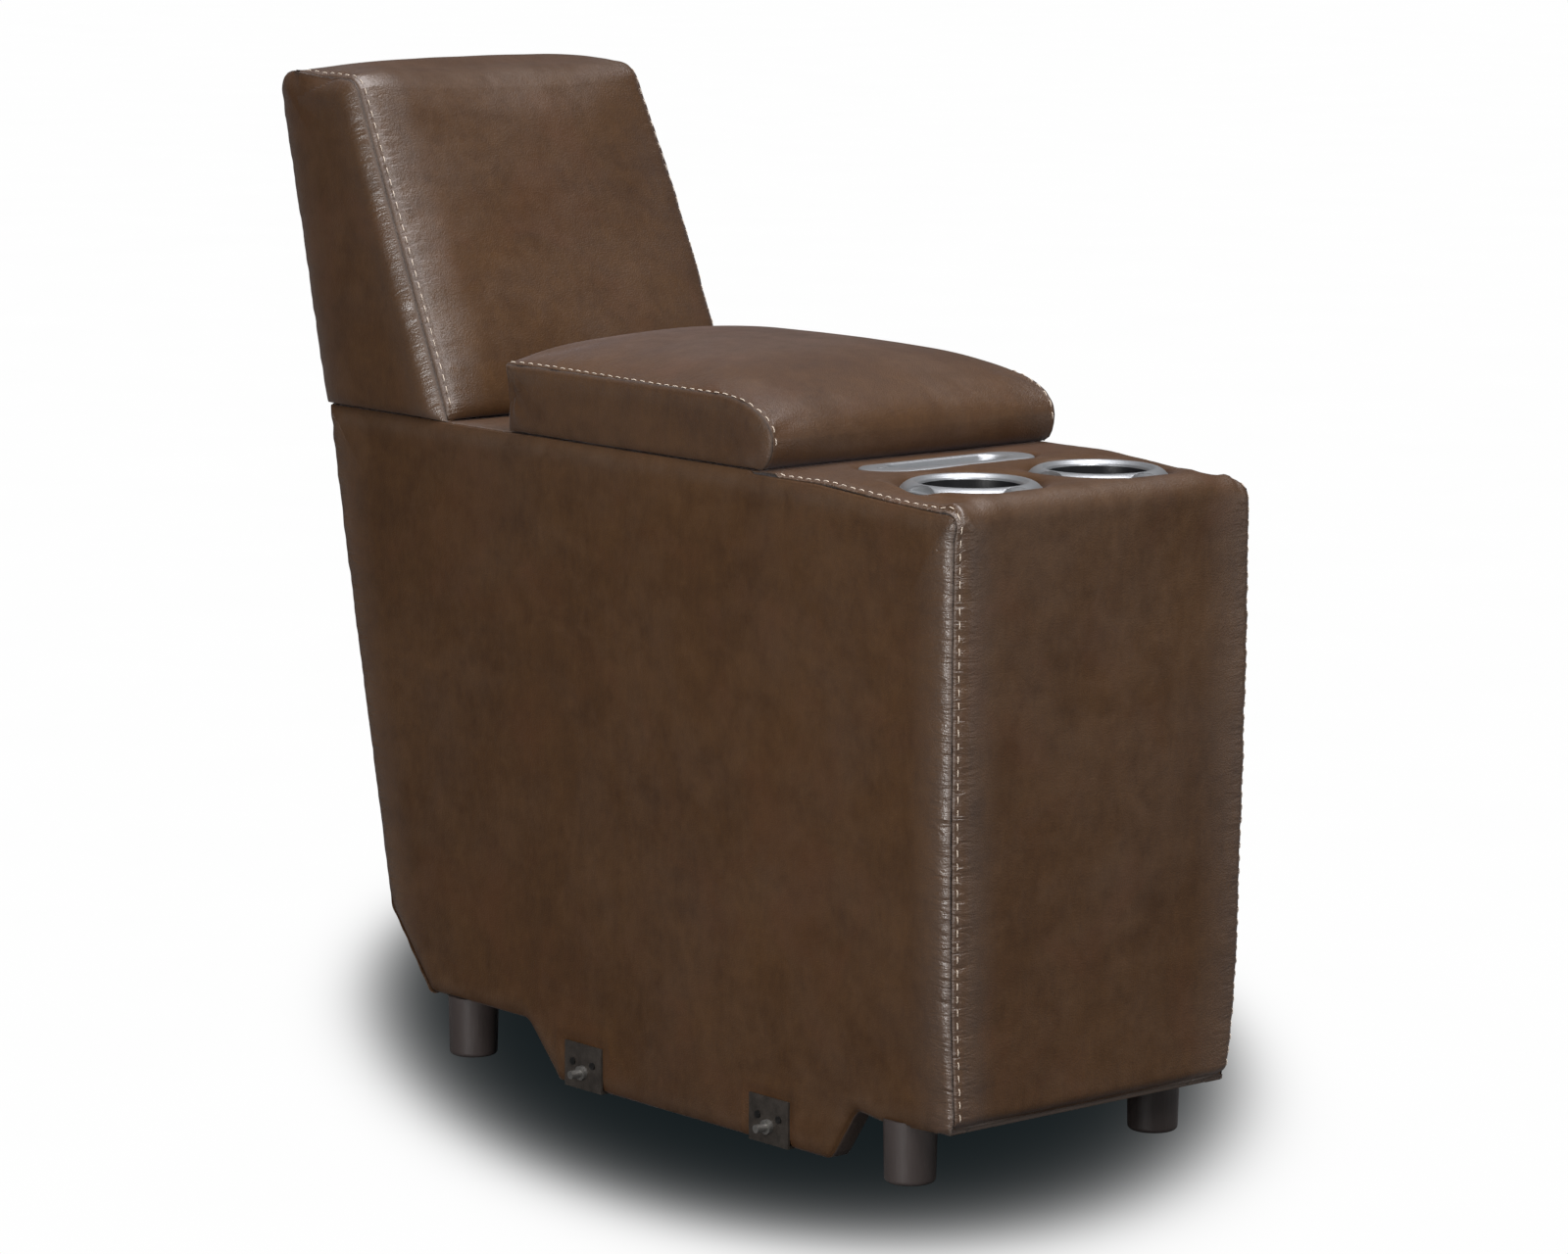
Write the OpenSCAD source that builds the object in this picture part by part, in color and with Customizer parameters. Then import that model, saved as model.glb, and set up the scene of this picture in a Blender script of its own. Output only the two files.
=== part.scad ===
// Straight storage console of a theatre sectional, with its own lift-off backrest.
// Lengths are in mm and +Z is up. The front faces -Y, and the origin is on the floor
// under the middle of the overall box.

/* [Overall] */
// Width over the padded sides
overall_w = 364; // [350:2:400]
// Height to the top seam of the backrest
overall_h = 972; // [930:2:1010]

/* [Base shape] */
// Height of the padded deck over the floor
base_h = 640; // [620:2:660]
// Depth of the base at the deck
deck_d = 938; // [928:2:950]
// Depth of the base at the knee of its rear face
low_d = 840; // [830:2:850]
// Height of the bottom edge over the floor at the feet
floor_gap = 60; // [54:1:66]
// Run of the slope under the rear face
kick_run = 64; // [56:2:72]
// Rise of the slope under the rear face
kick_rise = 77; // [66:1:90]
// Gap between the side skirt and the floor
skirt_gap = 8; // [7:0.5:12]
// Distance from the front to the front end of the skirt
skirt_front_y = 172; // [164:2:190]
// Distance from the front to the rear end of the skirt
skirt_rear_y = 570; // [562:2:590]
// Run of the slope at the front end of the skirt
skirt_front_run = 36; // [24:2:44]
// Run of the slope at the rear end of the skirt
skirt_rear_run = 50; // [40:2:60]
// Radius of the padded roll between the front and the deck
front_roll_r = 24; // [16:1:30]
// Radius of the padded roll under the front
hem_roll_r = 9; // [5:1:10]

/* [Boards and padding] */
// Thickness of the frame boards
board_t = 18; // [15:1:21]
// Thickness of foam and leather on the faces
pad_t = 10; // [8:0.5:12]
// Thickness of foam and leather left at a sewn edge
lip_t = 2; // [1:0.5:3]
// Width of the rounded margin beside a sewn edge
roll_w = 16; // [10:1:24]
// Outward swell of a side between its edges
side_crown = 2; // [0.5:0.5:3]
// Thickness of the boards that carry the feet
foot_board_t = 30; // [26:1:36]
// Width of the boards that carry the feet
foot_board_w = 104; // [96:2:110]
// Width of the strips under the deck
cleat_w = 14; // [10:1:15]
// Height of the strips under the deck
cleat_h = 20; // [14:1:30]
// Thickness of the dust cloth
cloth_t = 1.2; // [0.8:0.2:2]

/* [Storage bin] */
// Clear width of the bin
bin_w = 256; // [230:2:256]
// Clear length of the bin, front to back
bin_l = 304; // [280:2:306]
// Distance from the front face to the bin's clear space
bin_y = 300; // [296:1:306]
// Clear depth of the bin below the deck board
bin_depth = 270; // [200:5:340]
// Thickness of the bin's walls
bin_wall = 9; // [6:1:9]

/* [Cup holders] */
// Distance between the two cup centres
cup_spacing = 160; // [150:1:170]
// Distance from the front face to the cup centres
cup_y = 92; // [88:1:98]
// Clear radius of a cup well
well_r = 44; // [40:0.5:44.5]
// Depth of a cup well
well_depth = 61; // [50:1:80]
// Wall of a cup well
well_wall = 2; // [1.5:0.25:2.5]
// Outer radius of a bezel
bezel_r = 65; // [62:0.5:67]
// Clear radius of a bezel's throat
throat_r = 47.5; // [47.5:0.25:50]
// Height of a bezel's throat
throat_h = 20; // [16:1:24]
// Depth that a bezel's flange is sunk in the padding
bezel_sink = 8; // [5:0.5:8]
// Radius of the scallops in a bezel
scallop_r = 24; // [18:1:28]
// Reach of a scallop into the bezel
scallop_reach = 8; // [5:0.5:9]

/* [Tray] */
// Length of the tray across the deck
tray_l = 204; // [190:2:220]
// Width of the tray, front to back
tray_w = 56; // [50:1:58]
// Distance from the front face to the middle of the tray
tray_y = 212; // [208:1:214]
// Length of the tray's dish
dish_l = 138; // [120:1:142]
// Width of the tray's dish
dish_w = 34; // [28:1:36]
// Depth of the tray's dish
dish_depth = 13; // [9:0.5:16]
// Distance between the two tray screws
tray_screw_spacing = 164; // [160:1:170]

/* [Lid] */
// Width of the lid
lid_w = 356; // [340:2:358]
// Distance from the front face to the lid's nose
lid_y = 252; // [246:1:256]
// Length of the lid
lid_l = 396; // [388:1:402]
// Height of the lid's side seam over the deck
lid_seam_h = 65; // [55:1:75]
// Rise of the lid's crown over its side seam
lid_crown = 22; // [12:1:24]
// Thickness of the lid's sewn side band
band_t = 7; // [5:0.5:8]
// Thickness of the lid board
lid_board_t = 12; // [9:0.5:15]
// Gap between the deck and the lid's lining
lid_gap = 2.5; // [1.5:0.25:3]

/* [Hinges] */
// Height of the hinge line over the deck
hinge_h = 5; // [4.8:0.1:5.5]
// Radius of a hinge knuckle
knuckle_r = 4; // [3.6:0.1:4]
// Radius of a hinge pin
pin_r = 1.75; // [1.25:0.25:2]
// Length of a hinge
hinge_l = 72; // [60:2:90]
// Distance between the middles of the two hinges
hinge_spacing = 200; // [160:5:220]
// Width of a hinge leaf
leaf_w = 30; // [24:1:34]
// Thickness of a hinge leaf
leaf_t = 2; // [1.5:0.25:2]

/* [Backrest] */
// Distance from the front face to the foot of the backrest
back_y = 744; // [738:1:750]
// Depth of the backrest at its foot
back_foot_d = 198; // [188:1:200]
// Lean of the backrest's front, in degrees
back_lean = 24.5; // [22:0.5:26]
// Lean of the backrest's rear, in degrees
back_rear_lean = 13.5; // [12:0.5:15]
// Radius of the front top corner of the backrest
back_front_r = 26; // [20:1:30]
// Radius of the rear top corner of the backrest
back_rear_r = 14; // [12:1:18]
// Thickness of the front padding at its seams
back_pad_t = 13; // [11:0.5:13.5]
// Swell of the front padding between its seams
back_crown = 8; // [4:1:10]
// Thickness of the backrest's front board
back_board_t = 6; // [4:0.5:9]
// Thickness of the backrest's rear panel
back_panel_t = 4; // [3:0.5:6]

/* [Backrest fixing] */
// Width of a tongue
tongue_w = 40; // [30:1:46]
// Thickness of a tongue
tongue_t = 3; // [2.5:0.25:4]
// Length of a tongue below the deck's surface
tongue_drop = 90; // [70:1:110]
// Length of a tongue above the deck's surface
tongue_rise = 80; // [60:1:85]
// Distance from the front face to the middle of a tongue
tongue_y = 826; // [822:1:830]
// Height of a socket
socket_h = 66; // [50:1:70]
// Thickness of a socket's sheet
socket_t = 2; // [1.5:0.25:2.5]

/* [Feet] */
// Radius of a foot at its top
foot_r = 25.4; // [22:0.2:26]
// Radius of a foot at its bottom
foot_tip_r = 24; // [20:0.2:25]
// Distance between the foot centres across the console
foot_spacing = 311; // [306:1:311]
// Distance from the front face to the front foot centres
foot_front_y = 82; // [78:1:90]
// Distance from the front face to the rear foot centres
foot_rear_y = 736; // [728:1:738]
// Radius of the foot bolts
foot_bolt_r = 4; // [3:0.5:5]

/* [Ganging brackets] */
// Length of a bracket along the skirt
gang_l = 56; // [48:1:62]
// Height of a bracket
gang_h = 45; // [38:1:48]
// Thickness of a bracket's sheet
gang_t = 2.5; // [2:0.25:3]
// Distance from the front face to the middle of the front bracket
gang_front_y = 251; // [240:1:262]
// Distance from the front face to the middle of the rear bracket
gang_rear_y = 528; // [516:1:530]
// Radius of a ganging stud
stud_r = 4; // [3:0.25:5]
// Length of a ganging stud outside its bracket
stud_out = 16; // [12:1:24]

/* [Hidden] */
$fn = 64;

// Overrun of every cut, and gaps between pieces
cut = 1;
slide_gap = 0.3;
soft_gap = 0.3;
hole_gap = 0.05;
turn_gap = 0.05;
slope_gap = 0.02;
// Colours
leather = [0.29, 0.21, 0.16];
timber = [0.76, 0.62, 0.42];
steel = [0.25, 0.23, 0.22];
bright_steel = [0.7, 0.71, 0.72];
satin = [0.78, 0.79, 0.8];
black_plastic = [0.09, 0.09, 0.1];
cloth = [0.12, 0.12, 0.12];
rubber = [0.15, 0.15, 0.15];

// Planes that the pieces share
half_w = overall_w / 2;
board_out = half_w - pad_t;
board_in = board_out - board_t;
deck_top = base_h - pad_t;
deck_low = deck_top - board_t;
front_in = pad_t + board_t;
knee_z = floor_gap + kick_rise;
rear_slope = (deck_d - low_d) / (base_h - knee_z);
rear_stretch = sqrt(1 + rear_slope * rear_slope);
rear_pad_run = pad_t * rear_stretch;
rear_board_run = board_t * rear_stretch;
foot_board_top = floor_gap + foot_board_t;
kick_slope = kick_run / kick_rise;
// Rear face, and the foot of the slope below it, as distances from the front
function rear_y(z) = low_d + (z - knee_z) * rear_slope;
function kick_y(z) = low_d - (knee_z - z) * kick_slope;
// Share of an edge's roll that is left at a distance from the edge
function fall(d, r) = d >= r ? 0 : 1 - sqrt(1 - pow((r - max(d, 0)) / r, 2));
function lerp(a, b, share) = a + (b - a) * share;
function arc(centre, r, from, to, steps) =
    [for (k = [0 : steps]) let (a = lerp(from, to, k / steps)) centre + r * [cos(a), sin(a)]];
function cosine_shares(steps) = [for (k = [0 : steps]) (1 - cos(180 * k / steps)) / 2];
function joined(rows) = [for (row = rows) each row];

// Draws its children at their place along the console
module in_place() {
    translate([0, -overall_d / 2, 0]) children();
}
// Board or cover with a side outline of [distance from the front, height]
module across(outline, x0, x1) {
    in_place()
        translate([x0, 0, 0])
            rotate([90, 0, 90])
                linear_extrude(height = x1 - x0) polygon(outline);
}
// Both hands of a piece drawn on the -X side
module pair() {
    children();
    mirror([1, 0, 0]) children();
}
// Closed skin between two grids of points with the same rows and columns
module quilt(outer, inner) {
    rows = len(outer);
    cols = len(outer[0]);
    function o(i, j) = i * cols + j;
    function q(i, j) = (rows + i) * cols + j;
    function four(a, b, c, d) = [[a, b, c], [a, c, d]];
    last_row = rows - 1;
    last_col = cols - 1;
    faces = concat(
        joined([for (i = [0 : rows - 2], j = [0 : cols - 2])
            four(o(i, j), o(i, j + 1), o(i + 1, j + 1), o(i + 1, j))]),
        joined([for (i = [0 : rows - 2], j = [0 : cols - 2])
            four(q(i, j), q(i + 1, j), q(i + 1, j + 1), q(i, j + 1))]),
        joined([for (j = [0 : cols - 2]) four(o(0, j), q(0, j), q(0, j + 1), o(0, j + 1))]),
        joined([for (j = [0 : cols - 2])
            four(o(last_row, j), o(last_row, j + 1), q(last_row, j + 1), q(last_row, j))]),
        joined([for (i = [0 : rows - 2]) four(o(i, 0), o(i + 1, 0), q(i + 1, 0), q(i, 0))]),
        joined([for (i = [0 : rows - 2])
            four(o(i, last_col), q(i, last_col), q(i + 1, last_col), o(i + 1, last_col))]));
    in_place() polyhedron(concat(joined(outer), joined(inner)), faces);
}
// Rod along X with its middle at [distance from the front, height]
module rod_x(x0, x1, y, z, r) {
    in_place() translate([x0, y, z]) rotate([0, 90, 0]) cylinder(r = r, h = x1 - x0);
}
// Rod along Z
module rod_z(x, y, z0, z1, r) {
    in_place() translate([x, y, z0]) cylinder(r = r, h = z1 - z0);
}
// Block between two corners
module block(x0, x1, y0, y1, z0, z1) {
    in_place() translate([x0, y0, z0]) cube([x1 - x0, y1 - y0, z1 - z0]);
}

// Bottom edge of a side, from the front to the knee of the rear face
skirt_front_top = skirt_front_y - skirt_front_run;
skirt_rear_top = skirt_rear_y + skirt_rear_run;
kick_foot_y = low_d - kick_run;
function side_bottom(front, rear) = [
    [front, floor_gap], [skirt_front_top, floor_gap], [skirt_front_y, skirt_gap],
    [skirt_rear_y, skirt_gap], [skirt_rear_top, floor_gap], [kick_foot_y - rear, floor_gap],
    [low_d - rear, knee_z]];

module side_board() {
    outline = concat(side_bottom(pad_t, rear_pad_run),
        [[rear_y(deck_top) - rear_pad_run, deck_top], [pad_t, deck_top]]);
    difference() {
        across(outline, -board_out, -board_in);
        foot_blank(board_out + cut, cut);
        rear_foot_blank(board_out + cut, cut);
        gang_parts(hole_gap);
        socket_screw_pair(hole_gap);
    }
}
module side_board_left() { color(timber) side_board(); }
module side_board_right() { color(timber) mirror([1, 0, 0]) side_board(); }

module front_board() {
    color(timber) block(-board_in, board_in, pad_t, front_in, floor_gap, deck_top);
}

module rear_board() {
    outer = rear_pad_run;
    inner = rear_pad_run + rear_board_run;
    color(timber) across([
        [low_d - outer, knee_z], [rear_y(deck_top) - outer, deck_top],
        [rear_y(deck_top) - inner, deck_top], [low_d - inner, knee_z]], -board_in, board_in);
}

module kick_board() {
    outer = rear_pad_run;
    inner = rear_pad_run + rear_board_run;
    color(timber) across([
        [kick_y(foot_board_top) - outer, foot_board_top], [low_d - outer, knee_z],
        [low_d - inner, knee_z], [kick_y(foot_board_top) - inner, foot_board_top]],
        -board_in, board_in);
}

// Boards that carry the feet; the rear one follows the slope under the rear face
module foot_blank(reach, below) {
    block(-reach, reach, front_in, front_in + foot_board_w, floor_gap - below, foot_board_top);
}
module rear_foot_blank(reach, below) {
    run = rear_pad_run;
    across([
        [kick_y(floor_gap) - run - foot_board_w, floor_gap - below],
        [kick_y(floor_gap) - run, floor_gap - below], [kick_y(floor_gap) - run, floor_gap],
        [kick_y(foot_board_top) - run, foot_board_top],
        [kick_y(floor_gap) - run - foot_board_w, foot_board_top]], -reach, reach);
}
module front_foot_board() {
    color(timber) difference() {
        foot_blank(board_out, 0);
        foot_bolt_set(hole_gap);
    }
}
module rear_foot_board() {
    color(timber) difference() {
        rear_foot_blank(board_out, 0);
        foot_bolt_set(hole_gap);
    }
}

// Deck with cut-outs for the wells, the tray, the bin and the tongues
bezel_wall = 3;
deck_hole_r = throat_r + bezel_wall + slide_gap;
module bin_space(below, above) {
    block(-bin_w / 2, bin_w / 2, bin_y, bin_y + bin_l, below, above);
}
module tongue_slot() {
    margin = slide_gap;
    pair() block(-board_in, -board_in + tongue_t + 2 * slide_gap,
        tongue_y - tongue_w / 2 - margin, tongue_y + tongue_w / 2 + margin,
        deck_low - cut, base_h + cut);
}
module cup_holes(r, z0, z1) {
    for (side = [-1, 1]) rod_z(side * cup_spacing / 2, cup_y, z0, z1, r);
}
module deck_board() {
    inner = rear_pad_run + rear_board_run;
    color(timber) difference() {
        across([
            [front_in, deck_low], [rear_y(deck_low) - inner, deck_low],
            [rear_y(deck_top) - inner, deck_top], [front_in, deck_top]], -board_in, board_in);
        cup_holes(deck_hole_r, deck_low - cut, deck_top + cut);
        bin_space(deck_low - cut, deck_top + cut);
        tongue_slot();
        dish_blank(slide_gap, deck_low - cut, deck_top + cut);
        tray_screw_set(hole_gap);
        hinge_deck_screw_set(hole_gap);
    }
}

// Strips glued under the deck's edges
cleat_end_gap = 12;
module deck_cleats() {
    y1 = tongue_y - tongue_w / 2 - socket_flange_w - cleat_end_gap;
    color(timber) pair() block(-board_in, -board_in + cleat_w, front_in, y1,
        deck_low - cleat_h, deck_low);
}

// Cloth stapled under the foot boards, between the feet
cloth_inset = 6;
module dust_cloth() {
    reach = foot_spacing / 2 - foot_r - cloth_inset;
    color(cloth) block(-reach, reach, front_in, kick_foot_y - rear_pad_run,
        floor_gap - cloth_t, floor_gap);
}

module storage_bin() {
    color(timber) difference() {
        block(-bin_w / 2 - bin_wall, bin_w / 2 + bin_wall, bin_y - bin_wall,
            bin_y + bin_l + bin_wall, deck_low - bin_depth - bin_wall, deck_low);
        bin_space(deck_low - bin_depth, deck_low + cut);
    }
}

// Padded side: columns run up from the bottom edge, rows run along the console
side_row_shares = [0, 0.006, 0.015, 0.03, 0.1, 0.3, 0.5, 0.7, 0.9, 0.97, 0.985, 0.994, 1];
side_end_shares = [0, 0.12, 0.4, 1];
side_mid_shares = [0.25, 0.5, 0.75];
module side_cover() {
    corners = side_bottom(0, 0);
    // Columns close together in both end margins, and at each corner of the edge
    front_cols = concat([for (s = side_end_shares) [s * roll_w, floor_gap]],
        [[max(front_roll_r, roll_w + cut), floor_gap]]);
    skirt_cols = [for (s = side_mid_shares) lerp(corners[2], corners[3], s)];
    rear_low = [for (s = side_end_shares) lerp(corners[6], corners[5], s * roll_w / kick_run)];
    rear_cols = [for (k = [len(rear_low) - 1 : -1 : 0]) rear_low[k]];
    feet_of_cols = concat(front_cols, [corners[1], corners[2]], skirt_cols,
        [corners[3], corners[4], corners[5]], rear_cols);
    function spot(foot, share) =
        [lerp(foot[0], foot[0] * deck_d / low_d, share), lerp(foot[1], base_h, share)];
    function edge_fall(foot, at) =
        let (a = fall(foot[0], roll_w), b = fall(low_d - foot[0], roll_w),
            c = fall(at[1] - foot[1], roll_w), d = fall(base_h - at[1], roll_w))
        1 - (1 - a) * (1 - b) * (1 - c) * (1 - d);
    // A square corner turned round, for the rolls at the top and bottom of the front
    function turned(p, r, z, up) =
        let (u = r - p[0], v = up * (p[1] - z), wide = max(u, v), far = sqrt(u * u + v * v))
        u > 0 && v > 0 ? [r - u * wide / far, z + up * v * wide / far] : p;
    function out(foot, share) =
        let (at = spot(foot, share), swell = 1 - sin(180 * share) * sin(180 * foot[0] / low_d),
            top = turned(at, front_roll_r, base_h - front_roll_r, 1),
            end = turned(top, hem_roll_r, floor_gap + hem_roll_r, -1))
        [-half_w + side_crown * swell + (pad_t - lip_t - side_crown) * edge_fall(foot, at),
            end[0], end[1]];
    outer = [for (foot = feet_of_cols) [for (share = side_row_shares) out(foot, share)]];
    inner = [for (col = outer) [for (p = col) [-board_out, p[1], p[2]]]];
    difference() {
        quilt(outer, inner);
        gang_parts(hole_gap);
        gang_plates();
    }
}
module side_cover_left() { color(leather) side_cover(); }
module side_cover_right() { color(leather) mirror([1, 0, 0]) side_cover(); }

// One padded panel that runs up the front and back over the deck
front_arc_steps = 8;
module front_and_deck_cover() {
    z0 = floor_gap;
    outline = concat(
        [[pad_t, z0]],
        arc([hem_roll_r, z0 + hem_roll_r], hem_roll_r, 270, 180, front_arc_steps),
        arc([front_roll_r, base_h - front_roll_r], front_roll_r, 180, 90, front_arc_steps),
        [[rear_y(base_h) - rear_pad_run, base_h], [rear_y(deck_top) - rear_pad_run, deck_top],
            [pad_t, deck_top]]);
    color(leather) difference() {
        across(outline, -board_out, board_out);
        cup_holes(deck_hole_r, deck_top - cut, base_h + cut);
        cup_holes(bezel_r + slide_gap, base_h - bezel_sink, base_h + cut);
        bin_space(deck_top - cut, base_h + cut);
        tongue_slot();
        dish_blank(slide_gap, deck_top - cut, base_h + cut);
        tray_blank(tray_l, tray_w, slide_gap, base_h - tray_sink, base_h + cut);
        tray_screw_set(hole_gap);
        hinge_deck_screw_set(hole_gap);
    }
}

module rear_cover() {
    run = rear_pad_run - slope_gap;
    color(leather) across([
        [kick_foot_y, floor_gap], [low_d, knee_z], [rear_y(base_h), base_h],
        [rear_y(base_h) - run, base_h], [low_d - run, knee_z], [kick_foot_y - run, floor_gap]],
        -board_out, board_out);
}

// Cup bezels: a domed ring with four scallops over a thin flange
bezel_flange_t = 2.5;
bezel_dome_h = 8;
bezel_step = 3;
bezel_turns = 4;
bezel_z = base_h - bezel_sink;
bezel_top = bezel_z + bezel_dome_h;
module bezel(x) {
    flange_top = bezel_z + bezel_flange_t;
    throat_out = throat_r + bezel_wall;
    dome_w = bezel_r - throat_r;
    crest_share = 0.35;
    shoulder_share = 0.08;
    slope_share = 0.75;
    dip_share = 0.55;
    difference() {
        in_place() translate([x, cup_y, 0]) rotate_extrude() polygon([
            [throat_r, bezel_top - throat_h], [throat_r, bezel_top - bezel_step],
            [throat_r + dome_w * shoulder_share, lerp(bezel_top - bezel_step, bezel_top, slope_share)],
            [throat_r + dome_w * crest_share, bezel_top],
            [throat_r + dome_w * slope_share, lerp(flange_top, bezel_top, dip_share)],
            [bezel_r, flange_top], [bezel_r, bezel_z], [throat_out, bezel_z],
            [throat_out, bezel_top - throat_h]]);
        for (k = [0 : bezel_turns - 1]) let (a = 360 * k / bezel_turns)
            rod_z(x + (bezel_r + scallop_r - scallop_reach) * cos(a),
                cup_y + (bezel_r + scallop_r - scallop_reach) * sin(a),
                flange_top, bezel_top + cut, scallop_r);
    }
}
module cup_bezels() {
    color(satin) for (side = [-1, 1]) bezel(side * cup_spacing / 2);
}

// Cup wells: deep cups hung on the throats
well_floor_t = 3;
well_flange_t = 3;
well_top = bezel_top - throat_h;
module cup_well(x) {
    floor_z = well_top - well_depth;
    color(black_plastic) difference() {
        union() {
            rod_z(x, cup_y, floor_z - well_floor_t, well_top, well_r + well_wall);
            rod_z(x, cup_y, well_top - well_flange_t, well_top, throat_r + bezel_wall);
        }
        rod_z(x, cup_y, floor_z, well_top + cut, well_r);
    }
}
module cup_well_left() { cup_well(-cup_spacing / 2); }
module cup_well_right() { cup_well(cup_spacing / 2); }

// Oblong tray with a dish and two screws
tray_sink = 4;
tray_t = 3;
dish_wall = 3;
module tray_blank(l, w, grow, z0, z1) {
    r = w / 2 + grow;
    reach = l / 2 - w / 2;
    block(-reach, reach, tray_y - r, tray_y + r, z0, z1);
    for (side = [-1, 1]) rod_z(side * reach, tray_y, z0, z1, r);
}
module dish_blank(grow, z0, z1) {
    tray_blank(dish_l + 2 * dish_wall, dish_w + 2 * dish_wall, grow, z0, z1);
}
module tray() {
    z = base_h - tray_sink;
    top = z + tray_t;
    color(satin) difference() {
        union() {
            tray_blank(tray_l, tray_w, 0, z, top);
            dish_blank(0, top - dish_depth - dish_wall, top);
        }
        tray_blank(dish_l, dish_w, 0, top - dish_depth, top + cut);
        tray_screw_set(hole_gap);
    }
}
tray_screw_r = 2;
tray_screw_head_r = 4.5;
tray_screw_head_h = 1.8;
tray_screw_l = 22;
module tray_screw_set(grow) {
    top = base_h - tray_sink + tray_t;
    for (side = [-1, 1]) let (x = side * tray_screw_spacing / 2) {
        rod_z(x, tray_y, top - tray_screw_l - grow, top, tray_screw_r + grow);
        rod_z(x, tray_y, top, top + tray_screw_head_h, tray_screw_head_r);
    }
}
module tray_screws() { color(bright_steel) tray_screw_set(0); }

// Feet with a rounded tip, each on a hanger bolt
foot_tip_round = 4;
foot_arc_steps = 5;
foot_bolt_up = 20;
foot_bolt_down = 28;
module foot_places() {
    for (side = [-1, 1], y = [foot_front_y, foot_rear_y])
        in_place() translate([side * foot_spacing / 2, y, 0]) children();
}
module foot_bolt_set(grow) {
    foot_places() translate([0, 0, floor_gap - foot_bolt_down - grow])
        cylinder(r = foot_bolt_r + grow, h = foot_bolt_up + foot_bolt_down + 2 * grow);
}
module feet() {
    round_centre = [foot_tip_r - foot_tip_round, foot_tip_round];
    color([0.3, 0.27, 0.27]) difference() {
        foot_places() rotate_extrude() polygon(concat([[0, 0]],
            arc(round_centre, foot_tip_round, 270, 360, foot_arc_steps),
            [[foot_r, floor_gap], [0, floor_gap]]));
        foot_bolt_set(hole_gap);
    }
}
module foot_bolts() { color(bright_steel) foot_bolt_set(0); }

// Ganging brackets: a plate on the skirt with a short return under it
gang_face = half_w;
gang_return = 24;
gang_screw_r = 2;
gang_screw_head_r = 3.6;
gang_screw_head_h = 1.6;
gang_screw_l = 16;
gang_screw_dy = 15;
gang_screw_dz = 9;
stud_dz = 17;
stud_head_r = 7;
stud_head_h = 4.5;
nut_flange_r = 10;
nut_flange_t = 1.5;
nut_barrel_r = 5.2;
nut_barrel_l = 12;
stud_z = skirt_gap + stud_dz - gang_t;
module gang_plates() {
    for (y = [gang_front_y, gang_rear_y]) {
        block(-gang_face, -gang_face + gang_t, y - gang_l / 2, y + gang_l / 2,
            skirt_gap - gang_t, skirt_gap - gang_t + gang_h);
        block(-gang_face, -gang_face + gang_return, y - gang_l / 2, y + gang_l / 2,
            skirt_gap - gang_t, skirt_gap);
    }
}
module gang_stud_set(grow) {
    for (y = [gang_front_y, gang_rear_y]) {
        rod_x(-gang_face - stud_out, -board_in + nut_flange_t + grow, y, stud_z,
            stud_r + grow);
        rod_x(-gang_face - stud_head_h, -gang_face, y, stud_z, stud_head_r);
    }
}
module gang_nut_set(grow) {
    for (y = [gang_front_y, gang_rear_y]) {
        rod_x(-board_in - nut_barrel_l - grow, -board_in, y, stud_z, nut_barrel_r + grow);
        rod_x(-board_in, -board_in + nut_flange_t, y, stud_z, nut_flange_r);
    }
}
module gang_screw_set(grow) {
    for (y = [gang_front_y, gang_rear_y], side = [-1, 1]) {
        z = stud_z + gang_screw_dz;
        rod_x(-gang_face, -gang_face + gang_screw_l + grow, y + side * gang_screw_dy, z,
            gang_screw_r + grow);
        rod_x(-gang_face - gang_screw_head_h, -gang_face, y + side * gang_screw_dy, z,
            gang_screw_head_r);
    }
}
module gang_parts(grow) {
    gang_stud_set(grow);
    gang_nut_set(grow);
    gang_screw_set(grow);
}
module gang_brackets() {
    color(steel) pair() difference() {
        gang_plates();
        gang_stud_set(hole_gap);
        gang_screw_set(hole_gap);
    }
}
module gang_studs() { color(bright_steel) pair() gang_stud_set(0); }
module gang_nuts() {
    color(bright_steel) pair() difference() {
        gang_nut_set(0);
        gang_stud_set(hole_gap);
    }
}
module gang_screws() { color(steel) pair() gang_screw_set(0); }

// Hinges under the rear edge of the lid, two leaves and a pin each
hinge_overhang = 4.5;
hinge_y = lid_y + lid_l - hinge_overhang;
hinge_z = base_h + hinge_h;
knuckle_gap = 0.5;
leaf_setback = knuckle_r + knuckle_gap;
leaf_rise = 3;
leaf_low = base_h;
lid_leaf_top = hinge_z + leaf_rise;
hinge_screw_r = 1.75;
hinge_screw_head_r = 3.4;
hinge_screw_head_h = 1;
hinge_screw_l = 20;
hinge_lid_screw_l = 10;
knuckle_l = hinge_l / 3;
module at_hinges() {
    for (side = [-1, 1]) translate([side * hinge_spacing / 2, 0, 0]) children();
}
module knuckle(from_share, to_share, bore, z0) {
    x0 = hinge_l * (from_share - 0.5) + knuckle_gap / 2;
    x1 = hinge_l * (to_share - 0.5) - knuckle_gap / 2;
    difference() {
        union() {
            rod_x(x0, x1, hinge_y, hinge_z, knuckle_r);
            block(x0, x1, hinge_y - leaf_setback - cut, hinge_y, z0, z0 + leaf_t);
        }
        rod_x(x0 - cut, x1 + cut, hinge_y, hinge_z, pin_r + bore);
    }
}
module hinge_plate(z0) {
    block(-hinge_l / 2, hinge_l / 2, hinge_y - leaf_setback - leaf_w, hinge_y - leaf_setback,
        z0, z0 + leaf_t);
}
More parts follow.
